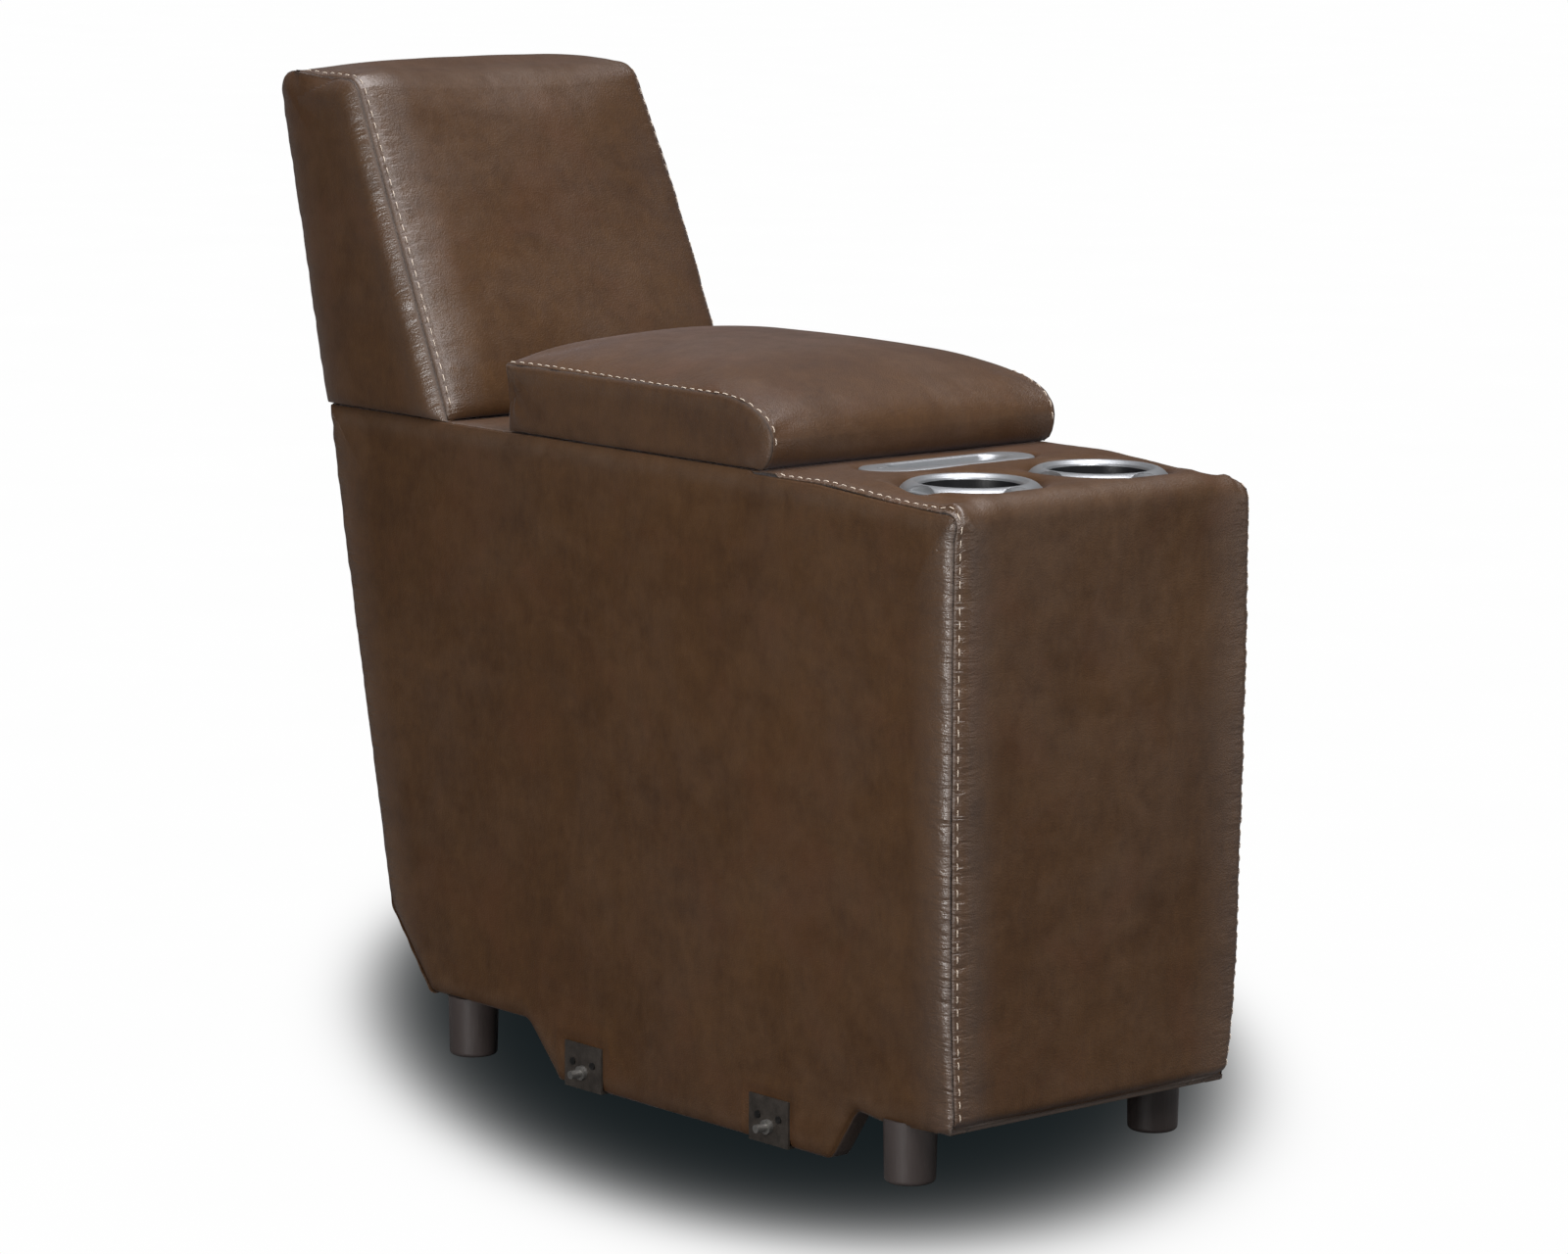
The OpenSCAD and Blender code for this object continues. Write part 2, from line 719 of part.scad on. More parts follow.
module hinge_screw_places() {
    for (share = [-0.3, 0.3]) translate([hinge_l * share, 0, 0]) children();
}
module hinge_deck_screw_set(grow) {
    y = hinge_y - leaf_setback - leaf_w / 2;
    top = leaf_low + leaf_t;
    at_hinges() hinge_screw_places() {
        rod_z(0, y, top - hinge_screw_l - grow, top, hinge_screw_r + grow);
        rod_z(0, y, top, top + hinge_screw_head_h, hinge_screw_head_r);
    }
}
module hinge_lid_screw_set(grow) {
    y = hinge_y - leaf_setback - leaf_w / 2;
    low = lid_leaf_top - leaf_t;
    at_hinges() hinge_screw_places() {
        rod_z(0, y, low, low + hinge_lid_screw_l + grow, hinge_screw_r + grow);
        rod_z(0, y, low - hinge_screw_head_h, low, hinge_screw_head_r);
    }
}
module hinge_base_leaves() {
    color(bright_steel) difference() {
        at_hinges() {
            hinge_plate(leaf_low);
            knuckle(0, 1 / 3, hole_gap, leaf_low);
            knuckle(2 / 3, 1, hole_gap, leaf_low);
        }
        hinge_deck_screw_set(hole_gap);
    }
}
module hinge_lid_leaves() {
    color(bright_steel) difference() {
        at_hinges() {
            hinge_plate(lid_leaf_top - leaf_t);
            knuckle(1 / 3, 2 / 3, turn_gap, lid_leaf_top - leaf_t);
        }
        hinge_lid_screw_set(hole_gap);
    }
}
module hinge_pins() {
    color(bright_steel) at_hinges()
        rod_x(-hinge_l / 2, hinge_l / 2, hinge_y, hinge_z, pin_r);
}
module hinge_deck_screws() { color(bright_steel) hinge_deck_screw_set(0); }
module hinge_lid_screws() { color(bright_steel) hinge_lid_screw_set(0); }

// Lid: a board with a lining below, a crowned cushion above and a sewn band round it
lid_low = base_h + lid_gap;
lid_board_top = lid_leaf_top + lid_board_t;
lid_in = lid_w / 2 - band_t;
lid_rear = lid_y + lid_l;
nose_t = 16;
nose_h = 20;
lid_board_y = lid_y + nose_t;
nose_z = base_h + nose_h;
nose_run = 79;
nose_crown_run = 150;
nose_tuck = 6;
lid_rear_run = 14;
nose_steps = 8;
flat_steps = 5;
rear_steps = 3;
tuck_steps = 3;
lining_clear = 1.5;
module lid_board() {
    color(timber) difference() {
        block(-lid_in, lid_in, lid_board_y, hinge_y - leaf_setback, lid_leaf_top, lid_board_top);
        hinge_lid_screw_set(hole_gap);
    }
}
module lid_lining() {
    color(cloth) difference() {
        block(-lid_in, lid_in, lid_board_y, hinge_y - leaf_setback, lid_low, lid_leaf_top);
        at_hinges() block(-hinge_l / 2 - lining_clear, hinge_l / 2 + lining_clear,
            hinge_y - leaf_setback - leaf_w - lining_clear, hinge_y, lid_low - cut,
            lid_leaf_top + cut);
        bumper_set(hole_gap);
    }
}
// Top line of the lid at a share of its crown: the rear roll, the flat and the nose
function lid_line(crown_share, rear_at) =
    let (top = base_h + lid_seam_h + lid_crown * crown_share,
        run = lerp(nose_run, nose_crown_run, crown_share),
        seam = base_h + lid_seam_h,
        centre = [lid_y + run, nose_z])
    concat(
        [for (k = [0 : rear_steps]) let (a = 90 * k / rear_steps)
            [rear_at - lid_rear_run * (1 - cos(a)), lerp(seam, top, sin(a))]],
        [for (k = [1 : flat_steps - 1])
            [lerp(rear_at - lid_rear_run, centre[0], k / flat_steps), top]],
        [for (k = [0 : nose_steps]) let (a = 90 + 90 * k / nose_steps)
            [centre[0] + run * cos(a), centre[1] + (top - nose_z) * sin(a)]],
        [for (k = [1 : tuck_steps]) let (a = 90 * k / tuck_steps)
            [lid_y + nose_tuck * (1 - cos(a)), lerp(nose_z, lid_low, sin(a))]]);
// Line that runs under the cushion, over the board and down its front edge
function lid_under(rear_at) =
    let (upper = rear_steps + flat_steps + nose_steps + 1)
    concat(
        [for (k = [0 : upper - 1]) [lerp(rear_at, lid_board_y, k / (upper - 1)), lid_board_top]],
        [for (k = [1 : tuck_steps]) [lid_board_y, lerp(lid_board_top, lid_low, k / tuck_steps)]]);
lid_crown_power = 2.2;
lid_cross_steps = 12;
module lid_cushion() {
    rear_at = lid_rear - band_t;
    stations = [for (s = cosine_shares(lid_cross_steps)) 2 * s - 1];
    outer = [for (s = stations) let (c = sqrt(max(0, 1 - pow(abs(s), lid_crown_power))))
        [for (p = lid_line(c, rear_at)) [s * lid_in, p[0], p[1]]]];
    under = lid_under(rear_at);
    inner = [for (s = stations) [for (p = under) [s * lid_in, p[0], p[1]]]];
    color(leather) quilt(outer, inner);
}
hinge_knee = 2;
band_round = 2.5;
// Side band: the lid's side outline, drawn in a little towards its outer face
band_in_shares = [0, 0.55, 0.85, 1];
band_draw_shares = [0, 0, 0.35, 1];
band_draw = 2;
module lid_band() {
    line = lid_line(0, lid_rear - hinge_knee);
    low = [for (p = line) [max(p[0], lid_y + nose_tuck), lid_low]];
    mid_z = (lid_low + base_h + lid_seam_h) / 2;
    mid_y = (lid_y + lid_rear) / 2;
    function drawn(p, share) =
        [p[0] + (p[0] < mid_y ? 1 : -1) * band_draw * share,
            p[1] + (p[1] < mid_z ? 1 : -1) * band_draw * share];
    function skin(points) = [for (i = [0 : len(band_in_shares) - 1])
        [for (p = points) let (at = drawn(p, band_draw_shares[i]))
            [-lid_in - band_t * band_in_shares[i], at[0], at[1]]]];
    quilt(skin(line), skin(low));
}
module lid_band_left() { color(leather) lid_band(); }
module lid_band_right() { color(leather) mirror([1, 0, 0]) lid_band(); }
module lid_band_rear() {
    seam = base_h + lid_seam_h;
    inner = lid_rear - band_t;
    color(leather) difference() {
        across([
            [inner, lid_low], [lid_rear - band_round, lid_low], [lid_rear, hinge_z],
            [lid_rear, seam - band_round], [lid_rear - band_round, seam], [inner, seam]],
            -lid_in, lid_in);
        at_hinges() block(-hinge_l / 2 - lining_clear, hinge_l / 2 + lining_clear,
            inner - cut, lid_rear + cut, lid_low - cut, hinge_z + knuckle_r + knuckle_gap);
    }
}
// Rubber buttons that land on the deck
bumper_r = 8;
bumper_x_share = 0.88;
bumper_inset = 14;
bumper_sink = 2;
module bumper_set(grow) {
    for (side = [-1, 1])
        rod_z(side * lid_in * bumper_x_share, lid_board_y + bumper_inset,
            base_h + soft_gap, lid_low + bumper_sink + grow, bumper_r + grow);
}
module lid_bumpers() { color(rubber) bumper_set(0); }

// Backrest outline: a front path and a rear path, each moved outward by a distance
back_z = base_h + soft_gap;
front_tan = tan(back_lean);
rear_tan = tan(back_rear_lean);
front_centre = [back_y + (overall_h - back_front_r - back_z) * front_tan
    + back_front_r / cos(back_lean), overall_h - back_front_r];
rear_centre = [back_y + back_foot_d + (overall_h - back_rear_r - back_z) * rear_tan
    - back_rear_r / cos(back_rear_lean), overall_h - back_rear_r];
overall_d = rear_centre[0] + back_rear_r;
line_steps = 5;
corner_steps = 4;
function front_foot(off) = [back_y - off / cos(back_lean), back_z];
function rear_foot(off) = [back_y + back_foot_d + off / cos(back_rear_lean), back_z];
function front_corner(off) =
    arc(front_centre, back_front_r + off, 180 - back_lean, 90, corner_steps);
function rear_corner(off) =
    arc(rear_centre, back_rear_r + off, -back_rear_lean, 90, corner_steps);
function front_path(off) = concat(
    [for (k = [0 : line_steps - 1]) lerp(front_foot(off), front_corner(off)[0], k / line_steps)],
    front_corner(off));
function rear_path(off) = concat(
    [for (k = [0 : line_steps - 1]) lerp(rear_foot(off), rear_corner(off)[0], k / line_steps)],
    rear_corner(off));
function backward(points) = [for (k = [len(points) - 1 : -1 : 0]) points[k]];

module back_frame() {
    top = overall_h - back_pad_t;
    rear = [for (p = backward(rear_path(-pad_t))) [p[0], min(p[1], top)]];
    outline = concat(front_path(-back_pad_t), rear);
    difference() {
        across(outline, -board_out, -board_in);
        tongue_screw_set(hole_gap);
    }
}
module back_frame_left() { color(timber) back_frame(); }
module back_frame_right() { color(timber) mirror([1, 0, 0]) back_frame(); }

module back_front_board() {
    outer = front_path(-back_pad_t);
    inner = front_path(-back_pad_t - back_board_t);
    color(timber) across([outer[0], outer[line_steps], inner[line_steps], inner[0]],
        -board_in, board_in);
}
module back_rear_panel() {
    outer = rear_path(-pad_t);
    inner = rear_path(-pad_t - back_panel_t);
    color(timber) across([outer[0], outer[line_steps], inner[line_steps], inner[0]],
        -board_in, board_in);
}
module back_top_rail() {
    z = overall_h - back_pad_t;
    y1 = rear_path(-pad_t - back_panel_t)[line_steps][0] - board_t * rear_tan - soft_gap;
    color(timber) block(-board_in, board_in, front_centre[0], y1, z - board_t, z);
}
module back_bottom_board() {
    inner_front = back_y + (back_pad_t + back_board_t + slope_gap) / cos(back_lean);
    inner_rear = back_y + back_foot_d - (pad_t + back_panel_t + slope_gap) / cos(back_rear_lean);
    color(timber) difference() {
        across([
            [inner_front, back_z], [inner_rear, back_z],
            [inner_rear + board_t * rear_tan, back_z + board_t],
            [inner_front + board_t * front_tan, back_z + board_t]], -board_in, board_in);
        pair() block(-board_in - cut, -board_in + tongue_t + 2 * slide_gap,
            tongue_y - tongue_w / 2 - slide_gap, tongue_y + tongue_w / 2 + slide_gap,
            back_z - cut, back_z + board_t + cut);
    }
}

// Crowned front pad that turns over the top of the backrest
back_cross_steps = 10;
back_crown_power = 2.6;
back_foot_share = 0.35;
module back_pad() {
    stations = [for (s = cosine_shares(back_cross_steps)) 2 * s - 1];
    count = len(front_path(0));
    function swell(s, k) = let (rise = min(1, back_foot_share + k / line_steps))
        back_crown * rise * sqrt(max(0, 1 - pow(abs(s), back_crown_power)));
    // The last point runs back along the top to the rear cover
    function line(s) = concat(
        [for (k = [0 : count - 1]) front_path(swell(s, k))[k]],
        [[rear_centre[0], overall_h + swell(s, 0)]]);
    under_path = concat(front_path(slope_gap - back_pad_t),
        [[rear_centre[0], overall_h - back_pad_t + slope_gap]]);
    outer = [for (s = stations) [for (p = line(s)) [s * board_out, p[0], p[1]]]];
    inner = [for (s = stations) [for (p = under_path) [s * board_out, p[0], p[1]]]];
    color(leather) quilt(outer, inner);
}
back_rung_shares = [0, 0.02, 0.06, 0.14, 0.5, 0.86, 0.94, 0.98, 1];
module back_cover() {
    front = front_path(0);
    rear = rear_path(0);
    function out(p, d_front, d_rear) =
        let (a = fall(d_front, roll_w), b = fall(d_rear, roll_w),
            c = fall(overall_h - p[1], roll_w),
            left = (1 - a) * (1 - b) * (1 - c))
        [-half_w + (pad_t - lip_t) * (1 - left), p[0], p[1]];
    outer = [for (k = [0 : len(front) - 1]) let (span = rear[k][0] - front[k][0])
        [for (s = back_rung_shares) out(lerp(front[k], rear[k], s), s * span, (1 - s) * span)]];
    inner = [for (rung = outer) [for (p = rung) [-board_out, p[1], p[2]]]];
    quilt(outer, inner);
}
module back_cover_left() { color(leather) back_cover(); }
module back_cover_right() { color(leather) mirror([1, 0, 0]) back_cover(); }
module back_cover_rear() {
    color(leather) across(concat(rear_path(0), backward(rear_path(-pad_t))),
        -board_out, board_out);
}

// Knock-down fixing: steel tongues drop into sockets on the base's side boards
socket_flange_w = 16;
tongue_screw_r = 2.2;
tongue_screw_head_r = 4;
tongue_screw_head_h = 1.5;
tongue_screw_l = 15;
tongue_screw_rise_shares = [0.45, 0.8];
tongue_face = board_in - slide_gap - tongue_t;
module tongue_screw_set(grow) {
    for (share = tongue_screw_rise_shares) {
        z = base_h + tongue_rise * share;
        rod_x(-tongue_face - tongue_screw_l - grow, -tongue_face, tongue_y, z,
            tongue_screw_r + grow);
        rod_x(-tongue_face, -tongue_face + tongue_screw_head_h, tongue_y, z,
            tongue_screw_head_r);
    }
}
module back_tongues() {
    color(steel) pair() difference() {
        block(-tongue_face - tongue_t, -tongue_face, tongue_y - tongue_w / 2,
            tongue_y + tongue_w / 2, base_h - tongue_drop, base_h + tongue_rise);
        tongue_screw_set(hole_gap);
    }
}
module tongue_screws() { color(bright_steel) pair() tongue_screw_set(0); }

// Hat-shaped sockets with a flange on each side
module back_sockets() {
    pocket = tongue_t + 2 * slide_gap;
    inner_y = tongue_w / 2 + slide_gap;
    outer_y = inner_y + socket_t;
    z0 = deck_low - socket_h;
    color(steel) pair() difference() {
        union() {
            block(-board_in, -board_in + socket_t, tongue_y - outer_y - socket_flange_w,
                tongue_y + outer_y + socket_flange_w, z0, deck_low);
            block(-board_in, -board_in + pocket + socket_t, tongue_y - outer_y,
                tongue_y + outer_y, z0, deck_low);
        }
        block(-board_in - cut, -board_in + pocket, tongue_y - inner_y, tongue_y + inner_y,
            z0 - cut, deck_low + cut);
        socket_screw_pair(hole_gap);
    }
}
socket_screw_r = 2;
socket_screw_head_r = 4;
socket_screw_head_h = 1.5;
socket_screw_l = 16;
module socket_screw_pair(grow) {
    reach = tongue_w / 2 + slide_gap + socket_t + socket_flange_w / 2;
    for (side = [-1, 1]) {
        y = tongue_y + side * reach;
        z = deck_low - socket_h / 2;
        face = -board_in + socket_t;
        rod_x(face - socket_screw_l - grow, face, y, z, socket_screw_r + grow);
        rod_x(face, face + socket_screw_head_h, y, z, socket_screw_head_r);
    }
}
module socket_screws() { color(bright_steel) pair() socket_screw_pair(0); }

side_board_left();
side_board_right();
front_board();
rear_board();
kick_board();
deck_board();
deck_cleats();
front_foot_board();
rear_foot_board();
dust_cloth();
storage_bin();
side_cover_left();
side_cover_right();
front_and_deck_cover();
rear_cover();
cup_bezels();
cup_well_left();
cup_well_right();
tray();
tray_screws();
feet();
foot_bolts();
gang_brackets();
gang_studs();
gang_nuts();
gang_screws();
hinge_base_leaves();
hinge_lid_leaves();
hinge_pins();
hinge_deck_screws();
hinge_lid_screws();
lid_board();
lid_lining();
lid_cushion();
lid_band_left();
lid_band_right();
lid_band_rear();
lid_bumpers();
back_frame_left();
back_frame_right();
back_front_board();
back_rear_panel();
back_top_rail();
back_bottom_board();
back_pad();
back_cover_left();
back_cover_right();
back_cover_rear();
back_tongues();
tongue_screws();
back_sockets();
socket_screws();
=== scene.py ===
from math import asin, atan2, ceil, copysign, cos, dist, e, exp, hypot, pi, radians, sin, sqrt, tan

import bpy
import numpy
from mathutils import Matrix, Vector, noise
from mathutils.bvhtree import BVHTree


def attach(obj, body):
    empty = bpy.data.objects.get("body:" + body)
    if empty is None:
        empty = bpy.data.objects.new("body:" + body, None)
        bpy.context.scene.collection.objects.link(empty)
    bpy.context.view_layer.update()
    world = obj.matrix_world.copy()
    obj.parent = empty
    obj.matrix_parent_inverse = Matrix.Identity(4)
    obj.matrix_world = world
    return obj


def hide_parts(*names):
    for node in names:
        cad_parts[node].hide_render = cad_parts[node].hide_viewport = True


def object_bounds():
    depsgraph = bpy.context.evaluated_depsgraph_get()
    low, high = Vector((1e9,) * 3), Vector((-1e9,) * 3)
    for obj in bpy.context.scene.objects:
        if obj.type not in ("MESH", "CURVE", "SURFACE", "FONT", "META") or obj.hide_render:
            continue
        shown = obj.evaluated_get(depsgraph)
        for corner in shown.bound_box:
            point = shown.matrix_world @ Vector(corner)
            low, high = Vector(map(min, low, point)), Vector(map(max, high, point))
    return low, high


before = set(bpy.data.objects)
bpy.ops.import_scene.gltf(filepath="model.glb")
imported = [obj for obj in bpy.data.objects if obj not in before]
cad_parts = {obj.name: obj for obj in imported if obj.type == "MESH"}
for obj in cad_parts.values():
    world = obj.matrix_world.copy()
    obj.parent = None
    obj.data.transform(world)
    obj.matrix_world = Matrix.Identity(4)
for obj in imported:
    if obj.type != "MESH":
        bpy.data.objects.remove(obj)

cad_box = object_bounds()

# Frame of the base: plywood sides, front, rear, deck and foot boards, glued and stapled, with a
# box under the deck for storage. The boards of the backrest and of the lid are cut from the same
# sheets. They show only at the bottom and where the lid opens.


def add(tree, kind, inputs=None, **settings):
    """New shader node, with its inputs given as values or as sockets to link."""
    node = tree.nodes.new("ShaderNode" + kind)
    for key, value in settings.items():
        setattr(node, key, value)
    for key, value in (inputs or {}).items():
        if isinstance(value, bpy.types.NodeSocket):
            tree.links.new(value, node.inputs[key])
        else:
            node.inputs[key].default_value = value
    return node


def blend_of(tree, share, *colours):
    """Colour between two colours, at a share from 0 to 1."""
    first, second = ((*c, 1.0) if isinstance(c, tuple) else c for c in colours)
    return add(tree, "Mix", {0: share, 6: first, 7: second}, data_type="RGBA").outputs[2]


def range_of(tree, value, low, high, to_low=0.0, to_high=1.0, way="LINEAR"):
    """Value carried from one range to another."""
    return add(tree, "MapRange", {"Value": value, "From Min": low, "From Max": high, "To Min": to_low,
                                  "To Max": to_high}, interpolation_type=way).outputs[0]


def sum_of(tree, *terms):
    """Sum of terms, each a pair of a socket and what it is multiplied by."""
    total = 0.0
    for socket, factor in terms:
        total = add(tree, "Math", {0: socket, 1: factor, 2: total}, operation="MULTIPLY_ADD").outputs[0]
    return total


def math_of(tree, operation, first, second):
    """Result of a calculation with two terms, each a socket or a number."""
    return add(tree, "Math", {0: first, 1: second}, operation=operation).outputs[0]


def effect(name, inputs, outputs):
    """Empty node group with named inputs and outputs."""
    group = bpy.data.node_groups.new(name, "ShaderNodeTree")
    for label, kind, value in inputs:
        socket = group.interface.new_socket(label, in_out="INPUT", socket_type="NodeSocket" + kind)
        socket.default_value = value
    for label, kind in outputs:
        group.interface.new_socket(label, in_out="OUTPUT", socket_type="NodeSocket" + kind)
    return group, group.nodes.new("NodeGroupInput").outputs, group.nodes.new("NodeGroupOutput").inputs


def start_finish(name, **plain):
    """New material with its shader's plain values set, and its node tree and shader."""
    made = bpy.data.materials.new(name)
    made.use_nodes = True
    shader = made.node_tree.nodes["Principled BSDF"]
    for key, value in plain.items():
        shader.inputs[key.replace("_", " ").title().replace("Ior", "IOR")].default_value = value
    return made, made.node_tree, shader


def emboss(tree, shader, height):
    """Relief from a height in metres."""
    bump = add(tree, "Bump", {"Height": height, "Strength": 1.0, "Distance": 1.0})
    tree.links.new(bump.outputs[0], shader.inputs["Normal"])


def figure_group():
    """Uneven colour and fine relief of a made surface: grain, flow marks, brushing or dust."""
    group, get, put = effect(
        "surface_figure",
        [("Scale", "Float", 10.0), ("Stretch", "Vector", (1.0, 1.0, 1.0)), ("Contrast", "Float", 0.2)],
        [("Mask", "Float"), ("Height", "Float")])
    where = add(group, "TexCoord").outputs["Object"]
    drawn = add(group, "VectorMath", {0: where, 1: get["Stretch"]}, operation="MULTIPLY").outputs[0]
    broad = add(group, "TexNoise", {"Vector": drawn, "Scale": get["Scale"], "Detail": 5.0,
                                    "Roughness": 0.6}).outputs[0]
    low, high = (math_of(group, way, 0.5, get["Contrast"]) for way in ("SUBTRACT", "ADD"))
    group.links.new(range_of(group, broad, low, high), put["Mask"])
    finer = math_of(group, "MULTIPLY", get["Scale"], 7.0)
    fine = add(group, "TexNoise", {"Vector": drawn, "Scale": finer, "Detail": 3.0}).outputs[0]
    group.links.new(fine, put["Height"])
    return group


figure = figure_group()


def figured(name, dark, light, scale, stretch=(1, 1, 1), contrast=0.2, relief=0.0001, smooth=0.4,
            rough=0.6, **plain):
    """Material whose colour runs between two colours and whose roughness runs with it."""
    made, tree, shader = start_finish(name, **plain)
    look = add(tree, "Group", node_tree=figure)
    for key, value in (("Scale", scale), ("Stretch", stretch), ("Contrast", contrast)):
        look.inputs[key].default_value = value
    mask, height = look.outputs["Mask"], look.outputs["Height"]
    tree.links.new(blend_of(tree, mask, dark, light), shader.inputs["Base Color"])
    tree.links.new(range_of(tree, mask, 0.0, 1.0, rough, smooth), shader.inputs["Roughness"])
    emboss(tree, shader, sum_of(tree, (height, relief)))
    return made


def dress(finish, *names):
    """Gives CAD pieces a finish."""
    for name in names:
        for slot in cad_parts[name].material_slots:
            slot.material = finish


plywood = figured("sawn_plywood", (0.36, 0.22, 0.11), (0.56, 0.39, 0.22), 7.0, (9, 1.0, 9), 0.25,
                  relief=0.0006, smooth=0.62, rough=0.8)
dress(plywood, "side_board_left", "side_board_right", "front_board", "rear_board", "kick_board",
      "deck_board", "deck_cleats", "front_foot_board", "rear_foot_board", "storage_bin", "lid_board",
      "back_frame_left", "back_frame_right", "back_front_board", "back_rear_panel", "back_top_rail",
      "back_bottom_board")

# Dust cloth: black spun cloth, stapled under the foot boards between the feet. The lining under
# the lid's board is the same cloth.
spun_cloth = figured("black_spun_cloth", (0.008, 0.008, 0.009), (0.03, 0.03, 0.032), 260.0, (1, 1, 1), 0.15,
                     relief=0.0009, smooth=0.85, rough=0.98, sheen_weight=0.2)
dress(spun_cloth, "dust_cloth", "lid_lining")

# Feet: four moulded feet, slightly tapered with a rounded tip, screwed on with hanger bolts.
# They are a dark grey-brown plastic with a satin, faintly grained face.
foot_plastic = figured("foot_plastic", (0.030, 0.023, 0.021), (0.052, 0.041, 0.038), 34.0, (1, 1, 0.25),
                       relief=0.0003, smooth=0.36, rough=0.5)
dress(foot_plastic, "feet")
zinc_steel = figured("zinc_plated_steel", (0.36, 0.37, 0.38), (0.56, 0.57, 0.58), 120.0,
                     smooth=0.26, rough=0.42, metallic=1.0)
dress(zinc_steel, "foot_bolts", "hinge_base_leaves", "hinge_lid_leaves", "hinge_pins", "hinge_deck_screws",
      "hinge_lid_screws", "gang_nuts", "tongue_screws", "socket_screws")

# Front and deck cover: one panel of brown leather over foam. It starts under the front, turns
# over the hem, runs up the front and over the roll, and lies on the deck as far as the rear seam.
# A row of cream thread holds its seam allowance down, a little inside each side seam.
front_y = cad_box[0].y
hands = {-1: "left", 1: "right"}
seam_x = 0.1803
stitch_inset = 0.0062
stitch_pitch = 0.0122
deck_z = 0.640
hem_z = 0.067
skirt_z = 0.060
board_low = 0.0592
board_x, board_y = 0.1722, 0.0094
hem_r = 0.009
roll_r = 0.024
deck_end = 0.9300
deck_seam_end = 0.262
cup_x, cup_y, bezel_hole_r = 0.080, 0.092, 0.0652
tray_y, tray_reach, tray_hole_r = 0.212, 0.074, 0.0284
cup_frame = (0.0125, 0.1475, 0.0245, 0.1595)
tray_frame = (-0.110, 0.110, 0.178, 0.246)
bin_frame = (-0.128, 0.128, 0.300, 0.604)
slot_frame = (0.1504, 0.1540, 0.8057, 0.8463)
side_width = [(0.0, 0.1800), (0.06, 0.1806), (0.10, 0.1812), (0.16, 0.1818), (0.25, 0.1824),
              (0.34, 0.1836), (0.50, 0.1844), (0.60, 0.1842), (0.64, 0.1834)]
back_y = 0.744
flat_reach = 0.128
panel_cell, deck_cell, rear_cell = 0.0047, 0.0045, 0.009
panel_fill, seam_fill, roll_fill = 0.0022, 0.0008, 0.0041
droop_front, droop_left, over_board = 0.0095, 0.003, 0.0042
deck_crown, lid_press, lid_press_y = 0.0016, 0.0012, 0.27
bezel_press, tray_press, bin_press, bin_lip = 0.0095, 0.0050, 0.0035, 0.0065
taper_z, tapers = 0.26, {-1: 0.005, 1: 0.012}
corner_sharpness = {-1: 0.45, 1: 0.12}
corner_turns = {-1: ((0.020, radians(50)), (0.009, radians(35))),
                1: ((0.010, radians(80)), (0.018, radians(50)))}


def at(x, y, z):
    """Point at a distance y behind the front face."""
    return Vector((x, front_y + y, z))


